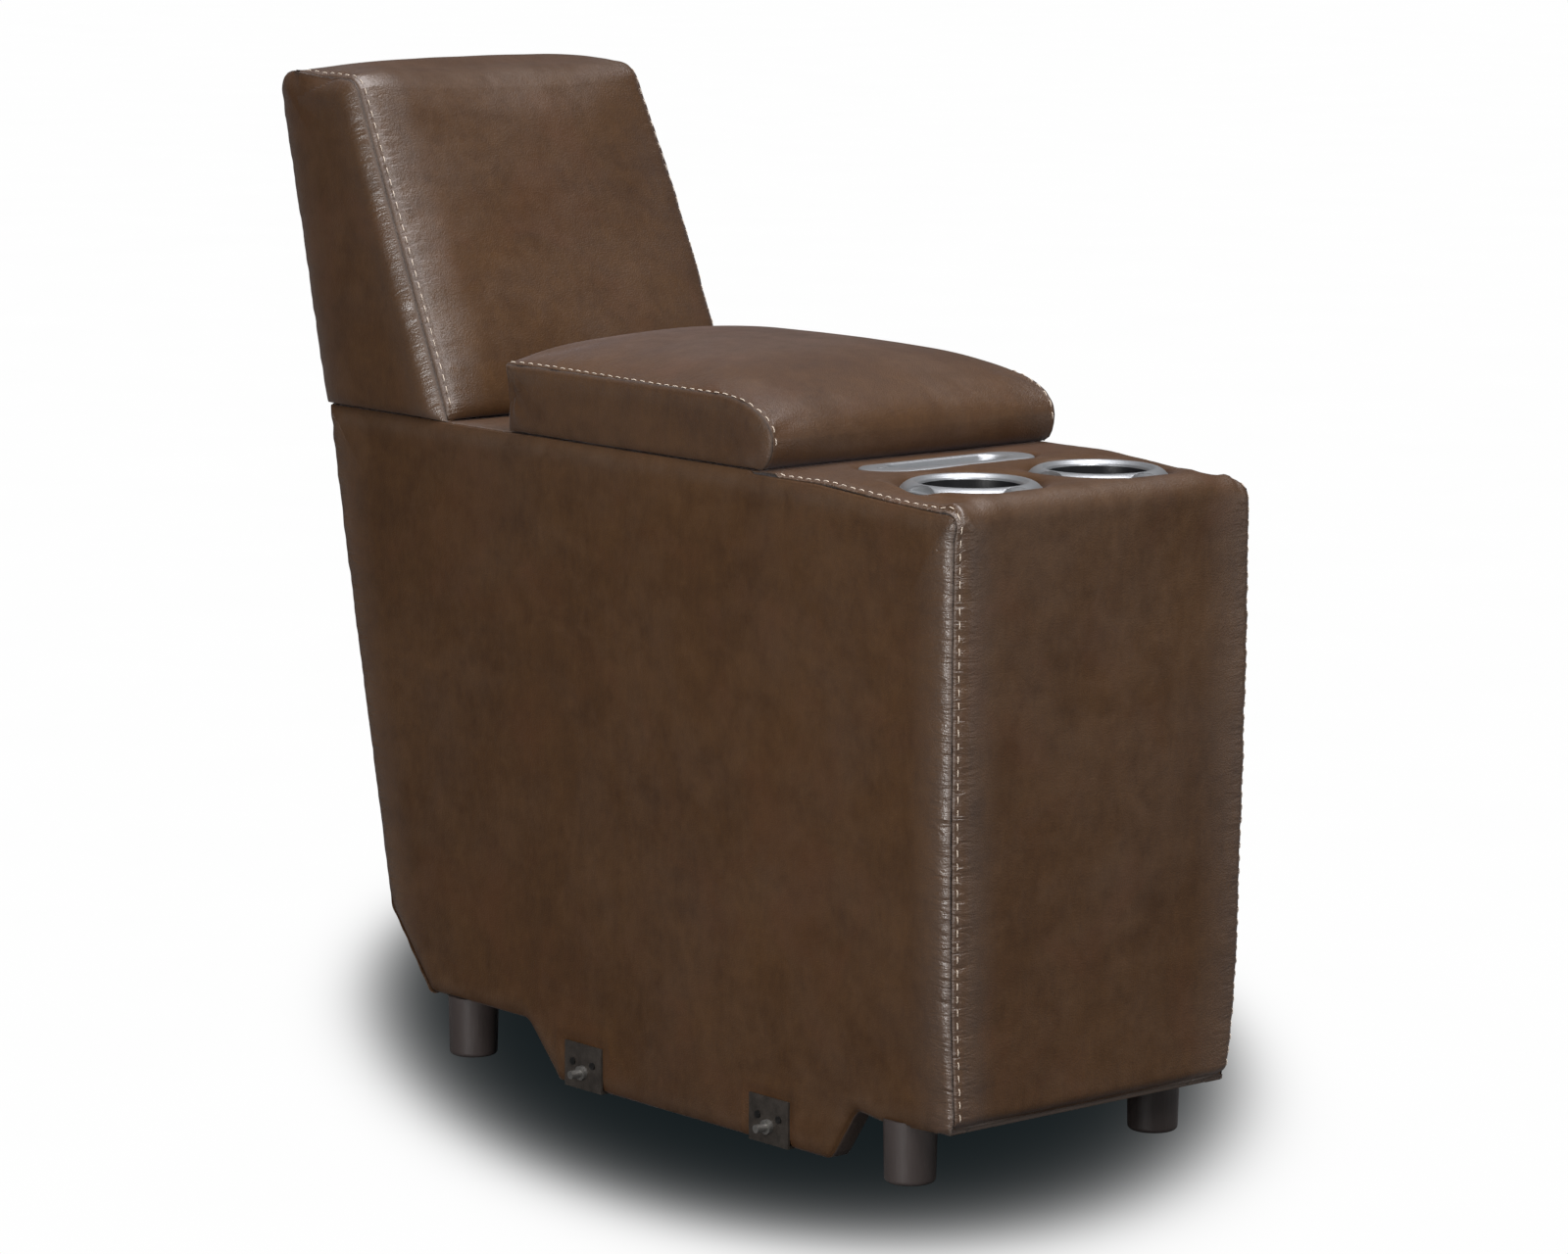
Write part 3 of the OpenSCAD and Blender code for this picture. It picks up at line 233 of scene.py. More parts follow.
def hide_group():
    """Colour, roughness and relief of the leather: blotches, fine mottling, pores, and creases that
    run across a seam. Edges that stand out are paler, partly from wear and partly as a painted
    sheen, and the seams and the strips turned under an edge are darkened with painted shade."""
    group, get, put = effect(
        "leather_hide",
        [("Seam Distance", "Float", 1.0), ("Seam Run", "Float", 0.0), ("Rubbed", "Float", 0.0),
         ("Crease", "Float", 1.0), ("Polish", "Float", 1.0)],
        [("Color", "Color"), ("Roughness", "Float"), ("Gloss", "Float"), ("Height", "Float")])
    where = add(group, "TexCoord").outputs["Object"]

    def cloud(scale, detail=5.0, stretch=(1, 1, 1), shift=(0, 0, 0), source=where, distortion=0.0):
        moved = add(group, "Mapping", {"Vector": source, "Location": shift, "Scale": stretch}).outputs[0]
        return add(group, "TexNoise", {"Vector": moved, "Scale": scale, "Detail": detail,
                                       "Roughness": 0.62, "Distortion": distortion}).outputs[0]

    blotch = cloud(6.5, distortion=0.5)
    mottle = cloud(34.0, detail=6.0, distortion=0.3)
    brushed = cloud(16.0, stretch=(0.5, 0.8, 3.2), shift=(3, 1, 2))
    fibre = cloud(150.0, detail=3.0, stretch=(1, 1, 0.4), shift=(2, 6, 5))
    tone = sum_of(group, (blotch, 0.34), (mottle, 0.30), (brushed, 0.14), (fibre, 0.22))
    tone = range_of(group, tone, 0.36, 0.62)
    warm = range_of(group, cloud(9.0, shift=(7, 5, 3), distortion=0.8), 0.52, 0.70, 0.0, 0.55)
    colour = blend_of(group, tone, (0.0390, 0.0160, 0.0042), (0.0740, 0.0340, 0.0108))
    colour = blend_of(group, warm, colour, (0.070, 0.0280, 0.0095))
    # Paler colour on edges that stand out: partly wear, partly a painted sheen.
    rubbed = math_of(group, "MULTIPLY", get["Rubbed"], range_of(group, mottle, 0.35, 0.65, 0.25, 0.6))
    colour = blend_of(group, rubbed, colour, (0.100, 0.068, 0.048))
    # Painted shade: the leather darkens where the seam distance is near 0, in the seams' grooves and on
    # strips turned under an edge.
    painted_shade = range_of(group, get["Seam Distance"], 0.0003, 0.0017, 0.50, 0.0)
    colour = blend_of(group, painted_shade, colour, (0.006, 0.004, 0.003))
    group.links.new(colour, put["Color"])

    near = range_of(group, get["Seam Distance"], 0.004, 0.062, 1.0, 0.0, "SMOOTHSTEP")
    reach = range_of(group, get["Seam Distance"], 0.002, 0.034, 1.0, 0.0)
    reach = math_of(group, "MULTIPLY", reach, get["Crease"])
    along = add(group, "CombineXYZ", {0: get["Seam Run"], 1: get["Seam Distance"]}).outputs[0]
    crease = cloud(1.0, detail=2.0, stretch=(105, 27, 1), source=along, distortion=0.9)
    crease = math_of(group, "MULTIPLY", crease, reach)
    pores = add(group, "TexVoronoi", {"Vector": where, "Scale": 620.0}, feature="F1").outputs["Distance"]
    grain = cloud(380.0, detail=2.0)
    dents = cloud(70.0, detail=3.0, shift=(1, 4, 2))
    relief = sum_of(group, (pores, 0.00022), (grain, 0.00018), (dents, 0.00045), (crease, 0.0028))
    group.links.new(relief, put["Height"])
    fold = range_of(group, get["Seam Distance"], 0.0010, 0.0040, 0.28, 0.0)
    shine = sum_of(group, (tone, -0.10), (rubbed, -0.12), (near, -0.12), (grain, 0.10), (fold, 1.0))
    group.links.new(math_of(group, "ADD", shine, 0.54), put["Roughness"])
    patches = sum_of(group, (cloud(5.0, shift=(4, 8, 1), distortion=0.6), 0.7), (mottle, 0.3))
    bloom = range_of(group, patches, 0.42, 0.60, 0.26, 0.46)
    group.links.new(range_of(group, near, 0.0, 1.0, bloom, get["Polish"]), put["Gloss"])
    return group


def leather_finish(name, crease, polish, bloom):
    """Leather with its share of creases, its polish beside the seams and its bloom from the light above."""
    made, tree, shader = start_finish(name, sheen_weight=bloom, sheen_roughness=0.40,
                                      sheen_tint=(0.78, 0.74, 0.82, 1.0))
    hide = add(tree, "Group", node_tree=hides)
    hide.inputs["Crease"].default_value = crease
    hide.inputs["Polish"].default_value = polish
    for socket in ("Seam Distance", "Seam Run", "Rubbed"):
        attribute = add(tree, "Attribute", attribute_name=socket.lower().replace(" ", "_"))
        tree.links.new(attribute.outputs["Fac"], hide.inputs[socket])
    for output, socket in (("Color", "Base Color"), ("Roughness", "Roughness"),
                           ("Gloss", "Specular IOR Level")):
        tree.links.new(hide.outputs[output], shader.inputs[socket])
    emboss(tree, shader, hide.outputs["Height"])
    return made


hides = hide_group()
leather = leather_finish("brown_leather", 1.0, 1.0, 0.055)
smooth_leather = leather_finish("smooth_leather", 0.25, 0.60, 0.15)
glossy_leather = leather_finish("glossy_leather", 0.55, 0.95, 0.11)


def spaced(marks, step):
    """Even places between the marks, no further apart than a step."""
    places = [marks[0]]
    for low, high in zip(marks, marks[1:]):
        count = max(1, ceil(abs(high - low) / step - 1e-6))
        places += [low + (high - low) * (k + 1) / count for k in range(count)]
    return places


def clamp(t):
    """Value held between 0 and 1."""
    return max(0.0, min(1.0, t))


def smooth(t):
    """Share that starts and ends softly."""
    t = clamp(t)
    return t * t * (3 - 2 * t)


def hill(x, middle, width):
    """Height of a smooth hill, 1 in its middle."""
    return exp(-((x - middle) / width) ** 2)


def between(table, x):
    """Value between the pairs of a table."""
    for (x0, y0), (x1, y1) in zip(table, table[1:]):
        if x <= x1:
            return y0 + (y1 - y0) * max(0.0, (x - x0)) / (x1 - x0)
    return table[-1][1]


def fall(d, r):
    """Share of an edge's roll that is left at a distance from the edge."""
    return 0.0 if d >= r else 1 - sqrt(1 - ((r - max(d, 0.0)) / r) ** 2)


class SeamLine:
    """A seam as short straight stretches, which tells how near it passes to a point, how far along
    it that is, and how clearly that stretch is the nearest one."""

    def __init__(self, places):
        self.start = numpy.array([tuple(p) for p in places[:-1]])
        self.way = numpy.array([tuple(q - p) for p, q in zip(places, places[1:])])
        self.length = numpy.maximum(1e-9, numpy.linalg.norm(self.way, axis=1))
        self.run = numpy.concatenate(([0.0], numpy.cumsum(self.length)[:-1]))

    def distances(self, p):
        """Distance of each stretch, where on it that is, and which one is nearest."""
        to = numpy.array(tuple(p)) - self.start
        share = numpy.clip((to * self.way).sum(axis=1) / self.length ** 2, 0.0, 1.0)
        away = numpy.linalg.norm(to - self.way * share[:, None], axis=1)
        return away, share, int(away.argmin())

    def nearest(self, p):
        away, share, k = self.distances(p)
        run = self.run[k] + share[k] * self.length[k]
        other = numpy.abs(self.run - run) > 2.6 * away[k] + 0.01
        clear = away[other].min() - away[k] if other.any() else 1.0
        return float(away[k]), float(run), float(clear)

    def inward(self, p, centre):
        """Way from the nearest stretch into the panel."""
        way = self.way[self.distances(p)[2]]
        inward = Vector((way[1], -way[0])).normalized()
        return inward if inward.dot(centre - p) > 0 else -inward


def unclear(away, clear):
    """Distance from a seam for the creases, longer where two seams are equally near."""
    return away / max(0.1, min(1.0, clear / (0.3 * away + 0.004)))


def mesh_of(name, points, faces):
    """Mesh of points and faces."""
    mesh = bpy.data.meshes.new(name)
    mesh.from_pydata(points, [], faces)
    return mesh


def new_piece(name, mesh, finish, body):
    """Piece of the scene that moves with a body."""
    mesh.shade_smooth()
    mesh.materials.append(finish)
    piece = bpy.data.objects.new(name, mesh)
    bpy.context.scene.collection.objects.link(piece)
    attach(piece, body)
    return piece


class Hide:
    """A sewn panel while it is made: its points, its faces, and where its seam lies from each point."""

    def __init__(self):
        self.points, self.faces, self.away, self.run, self.rub, self.calm = [], [], [], [], [], []

    def spot(self, point, away=0.2, run=0.0, rub=0.0, calm=1.0):
        """Adds a point. A calm of 0 keeps the pull of the seams away from it."""
        for values, value in ((self.points, point), (self.away, away), (self.run, run), (self.rub, rub),
                              (self.calm, calm)):
            values.append(value)
        return len(self.points) - 1

    def strips(self, rows, keep=lambda i, j: True):
        """Faces between rows of points."""
        for i, (low, high) in enumerate(zip(rows, rows[1:])):
            for j in range(len(low) - 1):
                if keep(i, j):
                    self.faces.append((low[j], low[j + 1], high[j + 1], high[j]))

    def grid(self, firsts, seconds, spot):
        """Rows of points, one row for each first value, and the faces between them."""
        rows = [[spot(first, second) for second in seconds] for first in firsts]
        self.strips(rows)
        return rows

    def fold(self, edge, moved, away=0.2):
        """Leather between an edge and its points once moved, which become the next edge."""
        row = [self.spot(moved(self.points[k]), away, calm=0.0) for k in edge]
        self.strips([edge, row])
        return row

    def make(self, name, body, node, outward, stitched=None, seed=0.0, puckers=1.0, groove=0.0014,
             finish=leather):
        """Turns the panel into a piece, with the pull of its seams and of its thread in the surface."""
        mesh = mesh_of(name, self.points, self.faces)
        middle = sum(self.points, Vector()) / len(self.points)
        if sum(face.normal.dot(outward or face.center - middle) * face.area for face in mesh.polygons) < 0:
            mesh.flip_normals()
        mesh.update()
        normals = [v.normal.copy() for v in mesh.vertices]
        for v, normal, away, run, calm in zip(mesh.vertices, normals, self.away, self.run, self.calm):
            v.co += normal * calm * surface_pull(v.co, away, run, stitched, seed, puckers, groove)
        for label, values in (("seam_distance", self.away), ("seam_run", self.run), ("rubbed", self.rub)):
            mesh.attributes.new(label, "FLOAT", "POINT").data.foreach_set("value", values)
        piece = new_piece(name, mesh, finish, body)
        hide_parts(node)
        return piece


def surface_pull(place, away, run, stitched, seed, puckers, groove):
    """How far sewn leather stands off its plain shape: it dives into the seam, lies over the folded
    allowance, is drawn down by the thread, and puckers across the seam."""
    lift = -groove * hill(away, 0.0, 0.0013)
    if stitched:
        lift += 0.0007 * hill(away, stitched * 0.55, 0.0024)
        pinch = 0.6 + 0.4 * cos(2 * pi * run / stitch_pitch)
        lift -= 0.0008 * pinch * hill(away, stitched, 0.0015)
    reach = exp(-away / 0.020)
    lift += 0.0010 * puckers * reach * noise.noise(Vector((run * 80, away * 26, seed)))
    lift += 0.0006 * puckers * exp(-away / 0.045) * noise.noise(Vector((run * 34, away * 12, seed + 9)))
    lift += 0.0011 * noise.noise(place * 8 + Vector((seed, seed, 0)))
    lift += 0.0004 * noise.noise(place * 24)
    return lift


front_edges = [0.030, 0.5 * pi * hem_r, deck_z - roll_r - hem_z - hem_r, 0.5 * pi * roll_r]
deck_run = sum(front_edges)


def front_line(run):
    """Side outline of the panel: distance behind the front, height, and the way it faces."""
    tuck, hem, rise, roll = front_edges
    if run < tuck:
        wrap = min(1.0, 3.0 * (1 - run / tuck))
        back = hem_r + 0.0004 * wrap + 0.9 * max(0.0, tuck * 2 / 3 - run)
        return back, hem_z - (hem_z - board_low) * wrap, 0.0, -1.0
    run -= tuck
    if run < hem:
        out, up = -sin(run / hem_r), -cos(run / hem_r)
        return hem_r + hem_r * out, hem_z + hem_r + hem_r * up, out, up
    run -= hem
    if run < rise:
        return 0.0, hem_z + hem_r + run, -1.0, 0.0
    run -= rise
    if run < roll:
        out, up = -cos(run / roll_r), sin(run / roll_r)
        return roll_r + roll_r * out, deck_z - roll_r + roll_r * up, out, up
    return roll_r + run - roll, deck_z, 0.0, 1.0


def droop(x, y):
    """How far the padding sinks towards the side seams in front, more on the left."""
    front = clamp((0.17 - y) / 0.16)
    sunk = droop_front * front * (2 - front) ** 0.5 + (droop_left if x < 0 and y < 0.25 else 0.0)
    free = 0.0040 * smooth((y - 0.012) / 0.02) + 0.0090 * smooth((abs(x) - board_x) / 0.0045)
    return min(sunk * smooth((abs(x) - flat_reach) / 0.056), over_board + free)


def roll_droop(x, y, z):
    """How far the droop lowers a point of the front, which it reaches near the roll."""
    return droop(x, y) * clamp((z - 0.56) / 0.08)


def deck_lift(x, y):
    """Height of the deck's leather over its plain plane: crowned in front, flat where the lid and
    the backrest press on it, and pressed in round the bezels, the tray and the opening of the bin."""
    lift = -lid_press if y > lid_press_y else 0.0
    if y < lid_press_y:
        lift = deck_crown * cos(pi * x / (2 * seam_x)) * sin(pi * min(1.0, y / lid_press_y)) ** 0.5
    for side in hands:
        past = max(0.0, hypot(x - side * cup_x, y - cup_y) - bezel_hole_r)
        lift -= bezel_press * exp(-past / 0.0038) + 0.0010 * exp(-past / 0.018)
    r = hypot(max(abs(x) - tray_reach, 0.0), y - tray_y)
    lift -= tray_press * exp(-max(0.0, r - tray_hole_r) / 0.0030)
    if bin_frame[2] - 0.02 < y < bin_frame[3] + 0.02:
        gap = max(abs(x) - bin_frame[1], bin_frame[2] - y, y - bin_frame[3])
        lift -= bin_press * exp(-max(0.0, gap) / 0.003)
    return lift


def front_taper(z, side):
    """How far the body draws in near its bottom corners."""
    return tapers[side] * max(0.0, (taper_z - z) / 0.20) ** 2.6


def body_face(side, y, z):
    """How far out the side's leather stands. It is fuller in front on the right."""
    wide = between(side_width, z) - front_taper(z, side) * exp(-y / 0.06)
    if side > 0:
        wide += 0.0025 + (0.0023 + 0.0032 * smooth((z - 0.2) / 0.4)) * exp(-y / 0.12)
    return wide


def corner_turn(side, z, level):
    """Radius and angle of the corner that the panel turns before its side seam. The level is 0 in
    front and 1 on the deck, and the corner is sharper near the floor."""
    (r0, turn0), (r1, turn1) = corner_turns[side]
    r0 *= 1 - corner_sharpness[side] * smooth((0.19 - z) / 0.11)
    return r0 + (r1 - r0) * level, turn0 + (turn1 - turn0) * level


def level_of(run):
    """How far a place has come from the front, 0, to the deck, 1."""
    roll = front_edges[3] + 0.010
    return smooth((run - deck_run + roll) / roll)


def panel_place(x, run):
    """Place on the front and deck panel, with the way it faces, before it is filled."""
    y, z, out, up = front_line(run)
    side = 1 if x > 0 else -1
    away = seam_x - abs(x)
    level = level_of(run)
    r, turn = corner_turn(side, z, level)
    left = max(0.0, turn - away / r)
    start = flat_reach + 0.0265 * level
    flat = abs(x) - front_taper(z, side) * abs(x) / seam_x
    turned = body_face(side, y, z) - r * (1 - sin(left)) - max(0.0, away - r * turn)
    back = r * (1 - cos(left))
    x = side * (flat + (turned - flat) * smooth((abs(x) - start) / (0.160 - start)))
    if run < deck_run - front_edges[3]:
        return x, y + back, z, out, up
    return x, y - out * back, z - up * back, out, up


def inside(frame_box, x, y):
    """Whether a place on the deck lies in an opening's frame."""
    return frame_box[0] < x < frame_box[1] and frame_box[2] < y < frame_box[3]


def front_and_deck():
    hide = Hide()
    near = (0.0185, 0.0160, 0.0140, 0.0125, 0.0112, 0.0100, 0.0090, 0.0080, 0.0066, 0.0050, 0.0035, 0.0023,
            0.0014, 0.0007, 0.0)
    stops = [0.0, cup_frame[0], tray_frame[1], bin_frame[1], cup_frame[1], *slot_frame[:2], seam_x - near[0]]
    half = spaced(stops, panel_cell)[:-1] + [seam_x - d for d in near]
    xs = [-x for x in reversed(half[1:])] + half
    decks = spaced([*cup_frame[2:], *tray_frame[2:], bin_frame[2]], deck_cell)
    decks += spaced([*bin_frame[2:], back_y, *slot_frame[2:], deck_end], rear_cell)[1:]
    tuck, hem, rise, roll = front_edges
    runs = [0.0, tuck / 3, tuck * 2 / 3, tuck * 5 / 6, tuck] + [tuck + hem * k / 5 for k in range(1, 6)]
    runs += [tuck + hem + rise * k / 130 for k in range(1, 131)]
    runs += [tuck + hem + rise + roll * k / 9 for k in range(1, 9)] + [deck_run + y - roll_r for y in decks]

    def spot(x, run):
        share = abs(x) / seam_x
        away = seam_x - abs(x)
        x, y, z, out, up = panel_place(x, run)
        if run > deck_run:
            height = z + deck_lift(x, y) - droop(x, y)
            return hide.spot(at(x, y, height), away * 2.5, run, calm=smooth(1 - (y - deck_seam_end) / 0.022))
        # The tucked strip under the front gets a seam distance of 0, which paints shade on it.
        if run < tuck:
            return hide.spot(at(x, min(y, board_y), z), 0.0, run, calm=0.0)
        away *= 1 + 1.5 * level_of(run)
        fill = panel_fill * sin(pi * min(1.0, run / deck_run)) * cos(pi * share / 2) ** 0.5
        fill += seam_fill * hill(away, 0.022, 0.012)
        fill += roll_fill * hill(run, deck_run - roll / 2, 0.34 * roll) * exp(-away / 0.03)
        # Paler edge colour on the roll and beside the seams: wear and painted sheen.
        rub = 0.5 * hill(run, deck_run - 0.018, 0.016) + 0.3 * hill(away, 0.004, 0.004)
        z -= roll_droop(x, y, z)
        return hide.spot(at(x, y + out * fill, z + up * fill), away, run, min(1.0, rub))

    rows = [[spot(x, run) for x in xs] for run in runs]
    cup_frames = {-1: (-cup_frame[1], -cup_frame[0], *cup_frame[2:]), 1: cup_frame}
    holes = [*cup_frames.values(), tray_frame, bin_frame, slot_frame,
             (-slot_frame[1], -slot_frame[0], *slot_frame[2:])]

    def whole(i, j):
        x, y = (xs[j] + xs[j + 1]) / 2, (runs[i] + runs[i + 1]) / 2 - deck_run + roll_r
        return runs[i] < deck_run or not any(inside(hole, x, y) for hole in holes)

    hide.strips(rows, whole)
    # Strips folded down under the deck's side edges; a seam distance of 0 paints shade on them.
    for column in (0, -1):
        edge = [row[column] for row, run in zip(rows, runs) if run > deck_run - roll / 2]
        inward = Vector((copysign(0.0006, -hide.points[edge[0]].x), 0, -0.0040))
        hide.fold(edge, lambda p: p + inward, away=0.0)

    def loop_round(hole):
        """Points of the grid round a hole, in order."""
        slack = 1e-5
        i = [k for k, run in enumerate(runs)
             if run >= deck_run and hole[2] - slack < run - deck_run + roll_r < hole[3] + slack]
        j = [k for k, x in enumerate(xs) if hole[0] - slack < x < hole[1] + slack]
        return ([rows[i[0]][b] for b in j[:-1]] + [rows[a][j[-1]] for a in i[:-1]]
                + [rows[i[-1]][b] for b in reversed(j[1:])] + [rows[a][j[0]] for a in reversed(i[1:])])

    def collar(hole, rim):
        """Rings of leather between the grid and the round edge of a hole."""
        outer = loop_round(hole)
        last = outer + outer[:1]
        for share in (0.72, 0.52, 0.36, 0.24, 0.15, 0.09, 0.05, 0.02, 0.0):
            ring = []
            for index in outer:
                x, y = hide.points[index].x, hide.points[index].y - front_y
                edge_x, edge_y = rim(x, y)
                x, y = edge_x + (x - edge_x) * share, edge_y + (y - edge_y) * share
                place = at(x, y, deck_z + deck_lift(x, y))
                ring.append(hide.spot(place, seam_x - abs(x), deck_run + y - roll_r))
            ring.append(ring[0])
            hide.strips([last, ring])
            last = ring

    def on_circle(x, y, middle_x, middle_y, r):
        share = r / hypot(x - middle_x, y - middle_y)
        return middle_x + (x - middle_x) * share, middle_y + (y - middle_y) * share

    for side, hole in cup_frames.items():
        collar(hole, lambda x, y: on_circle(x, y, side * cup_x, cup_y, bezel_hole_r))
    collar(tray_frame, lambda x, y: on_circle(x, y, max(-tray_reach, min(tray_reach, x)), tray_y,
                                              tray_hole_r))
    lip = loop_round(bin_frame)
    low = [hide.spot(hide.points[k] - Vector((0, 0, bin_lip))) for k in lip]
    hide.strips([lip + lip[:1], low + low[:1]])
    return hide.make("front_and_deck_leather", "base", "front_and_deck_cover", Vector((0, -1, 1)),
                     stitched=stitch_inset, seed=1.0)


front_panel = front_and_deck()

# Thread: cream, thick and twisted, in even stitches about 7 mm long with a gap between them. Each
# stitch bows up from the leather and dives into its needle holes.
cream_thread = figured("cream_thread", (0.62, 0.50, 0.39), (0.90, 0.79, 0.66), 900.0, (1, 1, 1), 0.25,
                       relief=0.0003, smooth=0.55, rough=0.8, sheen_weight=0.3)
stitch_share = 0.60
thread_r, thread_sides = 0.00040, 6
stitch_rings = ((0.0, -0.0006, 0.5), (0.10, 0.0002, 0.9), (0.32, 0.00062, 1.0),
                (0.68, 0.00062, 1.0), (0.90, 0.0002, 0.9), (1.0, -0.0006, 0.5))


def run_along(line):
    """How far along a line each of its points lies."""
    runs = [0.0]
    for p, q in zip(line, line[1:]):
        runs.append(runs[-1] + dist(p, q))
    return runs


def ring_faces(first, rings, turns):
    """Faces between rings of points that follow one another."""
    faces = []
    for i in range(rings - 1):
        for k in range(turns):
            a, b = first + i * turns + k, first + i * turns + (k + 1) % turns
            faces.append((a, b, b + turns, a + turns))
    return faces


def sew_row(name, body, panel, path):
    """Row of stitches on a panel, along a path of points close to its surface."""
    skin = BVHTree.FromObject(panel, bpy.context.evaluated_depsgraph_get())
    lengths = run_along(path)

    def on_leather(run):
        k = next((k for k in range(1, len(lengths)) if lengths[k] >= run), len(lengths) - 1)
        share = (run - lengths[k - 1]) / max(1e-9, lengths[k] - lengths[k - 1])
        place, normal, _, _ = skin.find_nearest(path[k - 1].lerp(path[k], share))
        return place, normal, (path[k] - path[k - 1]).normalized()

    points, faces = [], []
    for k in range(int(lengths[-1] / stitch_pitch)):
        start = (k + 0.5 - stitch_share / 2) * stitch_pitch
        lean = 0.0003 * noise.noise(Vector((k * 3.7, 0.5, 0.2)))
        first = len(points)
        for share, rise, thick in stitch_rings:
            place, normal, way = on_leather(start + share * stitch_share * stitch_pitch)
            across = normal.cross(way).normalized()
            middle = place + normal * rise + across * lean * (share - 0.5) * 2
            for i in range(thread_sides):
                a = 2 * pi * i / thread_sides
                points.append(middle + (across * cos(a) + normal * sin(a)) * thread_r * thick)
        faces += ring_faces(first, len(stitch_rings), thread_sides)
        faces.append(tuple(range(first + thread_sides - 1, first - 1, -1)))
        faces.append(tuple(range(len(points) - thread_sides, len(points))))
    return new_piece(name, mesh_of(name, points, faces), cream_thread, body)


def front_row(side):
    """Path of the thread beside the front panel's side seam, from the hem over the roll to the lid."""
    path = []
    for k in range(280):
        run = front_edges[0] + 0.6 * front_edges[1] + 0.003 * k
        x, y, z, _, _ = panel_place(side * (seam_x - stitch_inset), run)
        if y > deck_seam_end:
            break
        path.append(at(x, y, z - roll_droop(x, y, z)))
    return path


for side, hand in hands.items():
    sew_row("front_stitches_" + hand, "base", front_panel, front_row(side))

# Side covers: leather over thin foam on the outer face of each side board. The panel rolls over
# its front, top and rear edges into the seams, follows the skirt between the feet, and is stapled
# under the bottom edge. The ganging plates press into it near the floor.
side_seam_x = 0.1798
deck_rear = 0.938
knee = (0.840, 0.137)
skirt = [(0.0, hem_z), (0.024, 0.0590), (0.100, 0.0560), (0.136, skirt_z), (0.172, 0.0068),
         (0.570, 0.0068), (0.620, skirt_z), (0.776, skirt_z), knee]
skirt_rounds = [0, 0.010, 0.020, 0.012, 0.009, 0.008, 0.018, 0.012, 0]
plate_places, plate_half, plate_top, plate_x = (0.251, 0.528), 0.0295, 0.0520, 0.1796
margin = [0.0, 0.0008, 0.0018, 0.0032, 0.0050, 0.0072, 0.0098, 0.0130, 0.0165, 0.0205, 0.0250]
knee_margin = [0.0, 0.0015, 0.0035, 0.006, 0.0095, 0.014, 0.020, 0.027]
lip_depth = 0.0028
side_cell, side_roll_r, side_roll_drop = 0.0052, 0.013, 0.0040
hem_roll_r, hem_tuck, plate_bulge, front_bulge = 0.014, 0.006, 0.0012, 0.0016
under_xs, under_drop = (0.1728, 0.1700, 0.1640, 0.1530), 0.0012


def bend(p, corner, q, t):
    """Point at a share of the round turn that leads from p to q inside a corner."""
    return p.lerp(corner, t).lerp(corner.lerp(q, t), t)


def rounded_line(corners, rounds, step):
    """Points along a line through corners, each turned with its own radius."""
    line = [Vector(corners[0])]
    for before, here, after, r in zip(corners, corners[1:], corners[2:], rounds[1:]):
        before, here, after = Vector(before), Vector(here), Vector(after)
        back, on = (before - here).normalized(), (after - here).normalized()
        if r:
            reach = r / tan(back.angle(on) / 2)
            line += [bend(here + back * reach, here, here + on * reach, t / 6) for t in range(7)]
        else:
            line.append(here)
    line.append(Vector(corners[-1]))
    places = [line[0]]
    for p, q in zip(line, line[1:]):
        count = max(1, ceil((q - p).length / step - 1e-6))
        places += [p.lerp(q, (k + 1) / count) for k in range(count)]
    return places


def way_at(line, k):
    """Way that a line runs at one of its points."""
    return line[min(k + 1, len(line) - 1)] - line[max(k - 1, 0)]


def lip_of(hide, edge, centre):
    """Turns the sewn edge of a panel down into its seam."""
    places = [hide.points[index] for index in edge]
    low = []
    for k, p in enumerate(places):
        way = way_at(places, k)
        inward = Vector((0, way.z, -way.y)).normalized()
        if inward.dot(centre - p) < 0:
            inward.negate()
        sunk = Vector((p.x - copysign(lip_depth, p.x), p.y, p.z)) + inward * lip_depth
        # A seam distance of 0 paints shade on the lip down in the seam.
        low.append(hide.spot(sunk, 0.0, hide.run[edge[k]], calm=0.0))
    hide.strips([edge, low])


def turned_in(y, z, r, edge, way):
    """Place in a panel's front corner, moved onto a corner of radius r."""
    u, v = r - y, way * (z - edge) + r
    if u <= 0 or v <= 0:
        return y, z
    wide, far = max(u, v), hypot(u, v)
    return r - u * wide / far, edge + way * (v * wide / far - r)


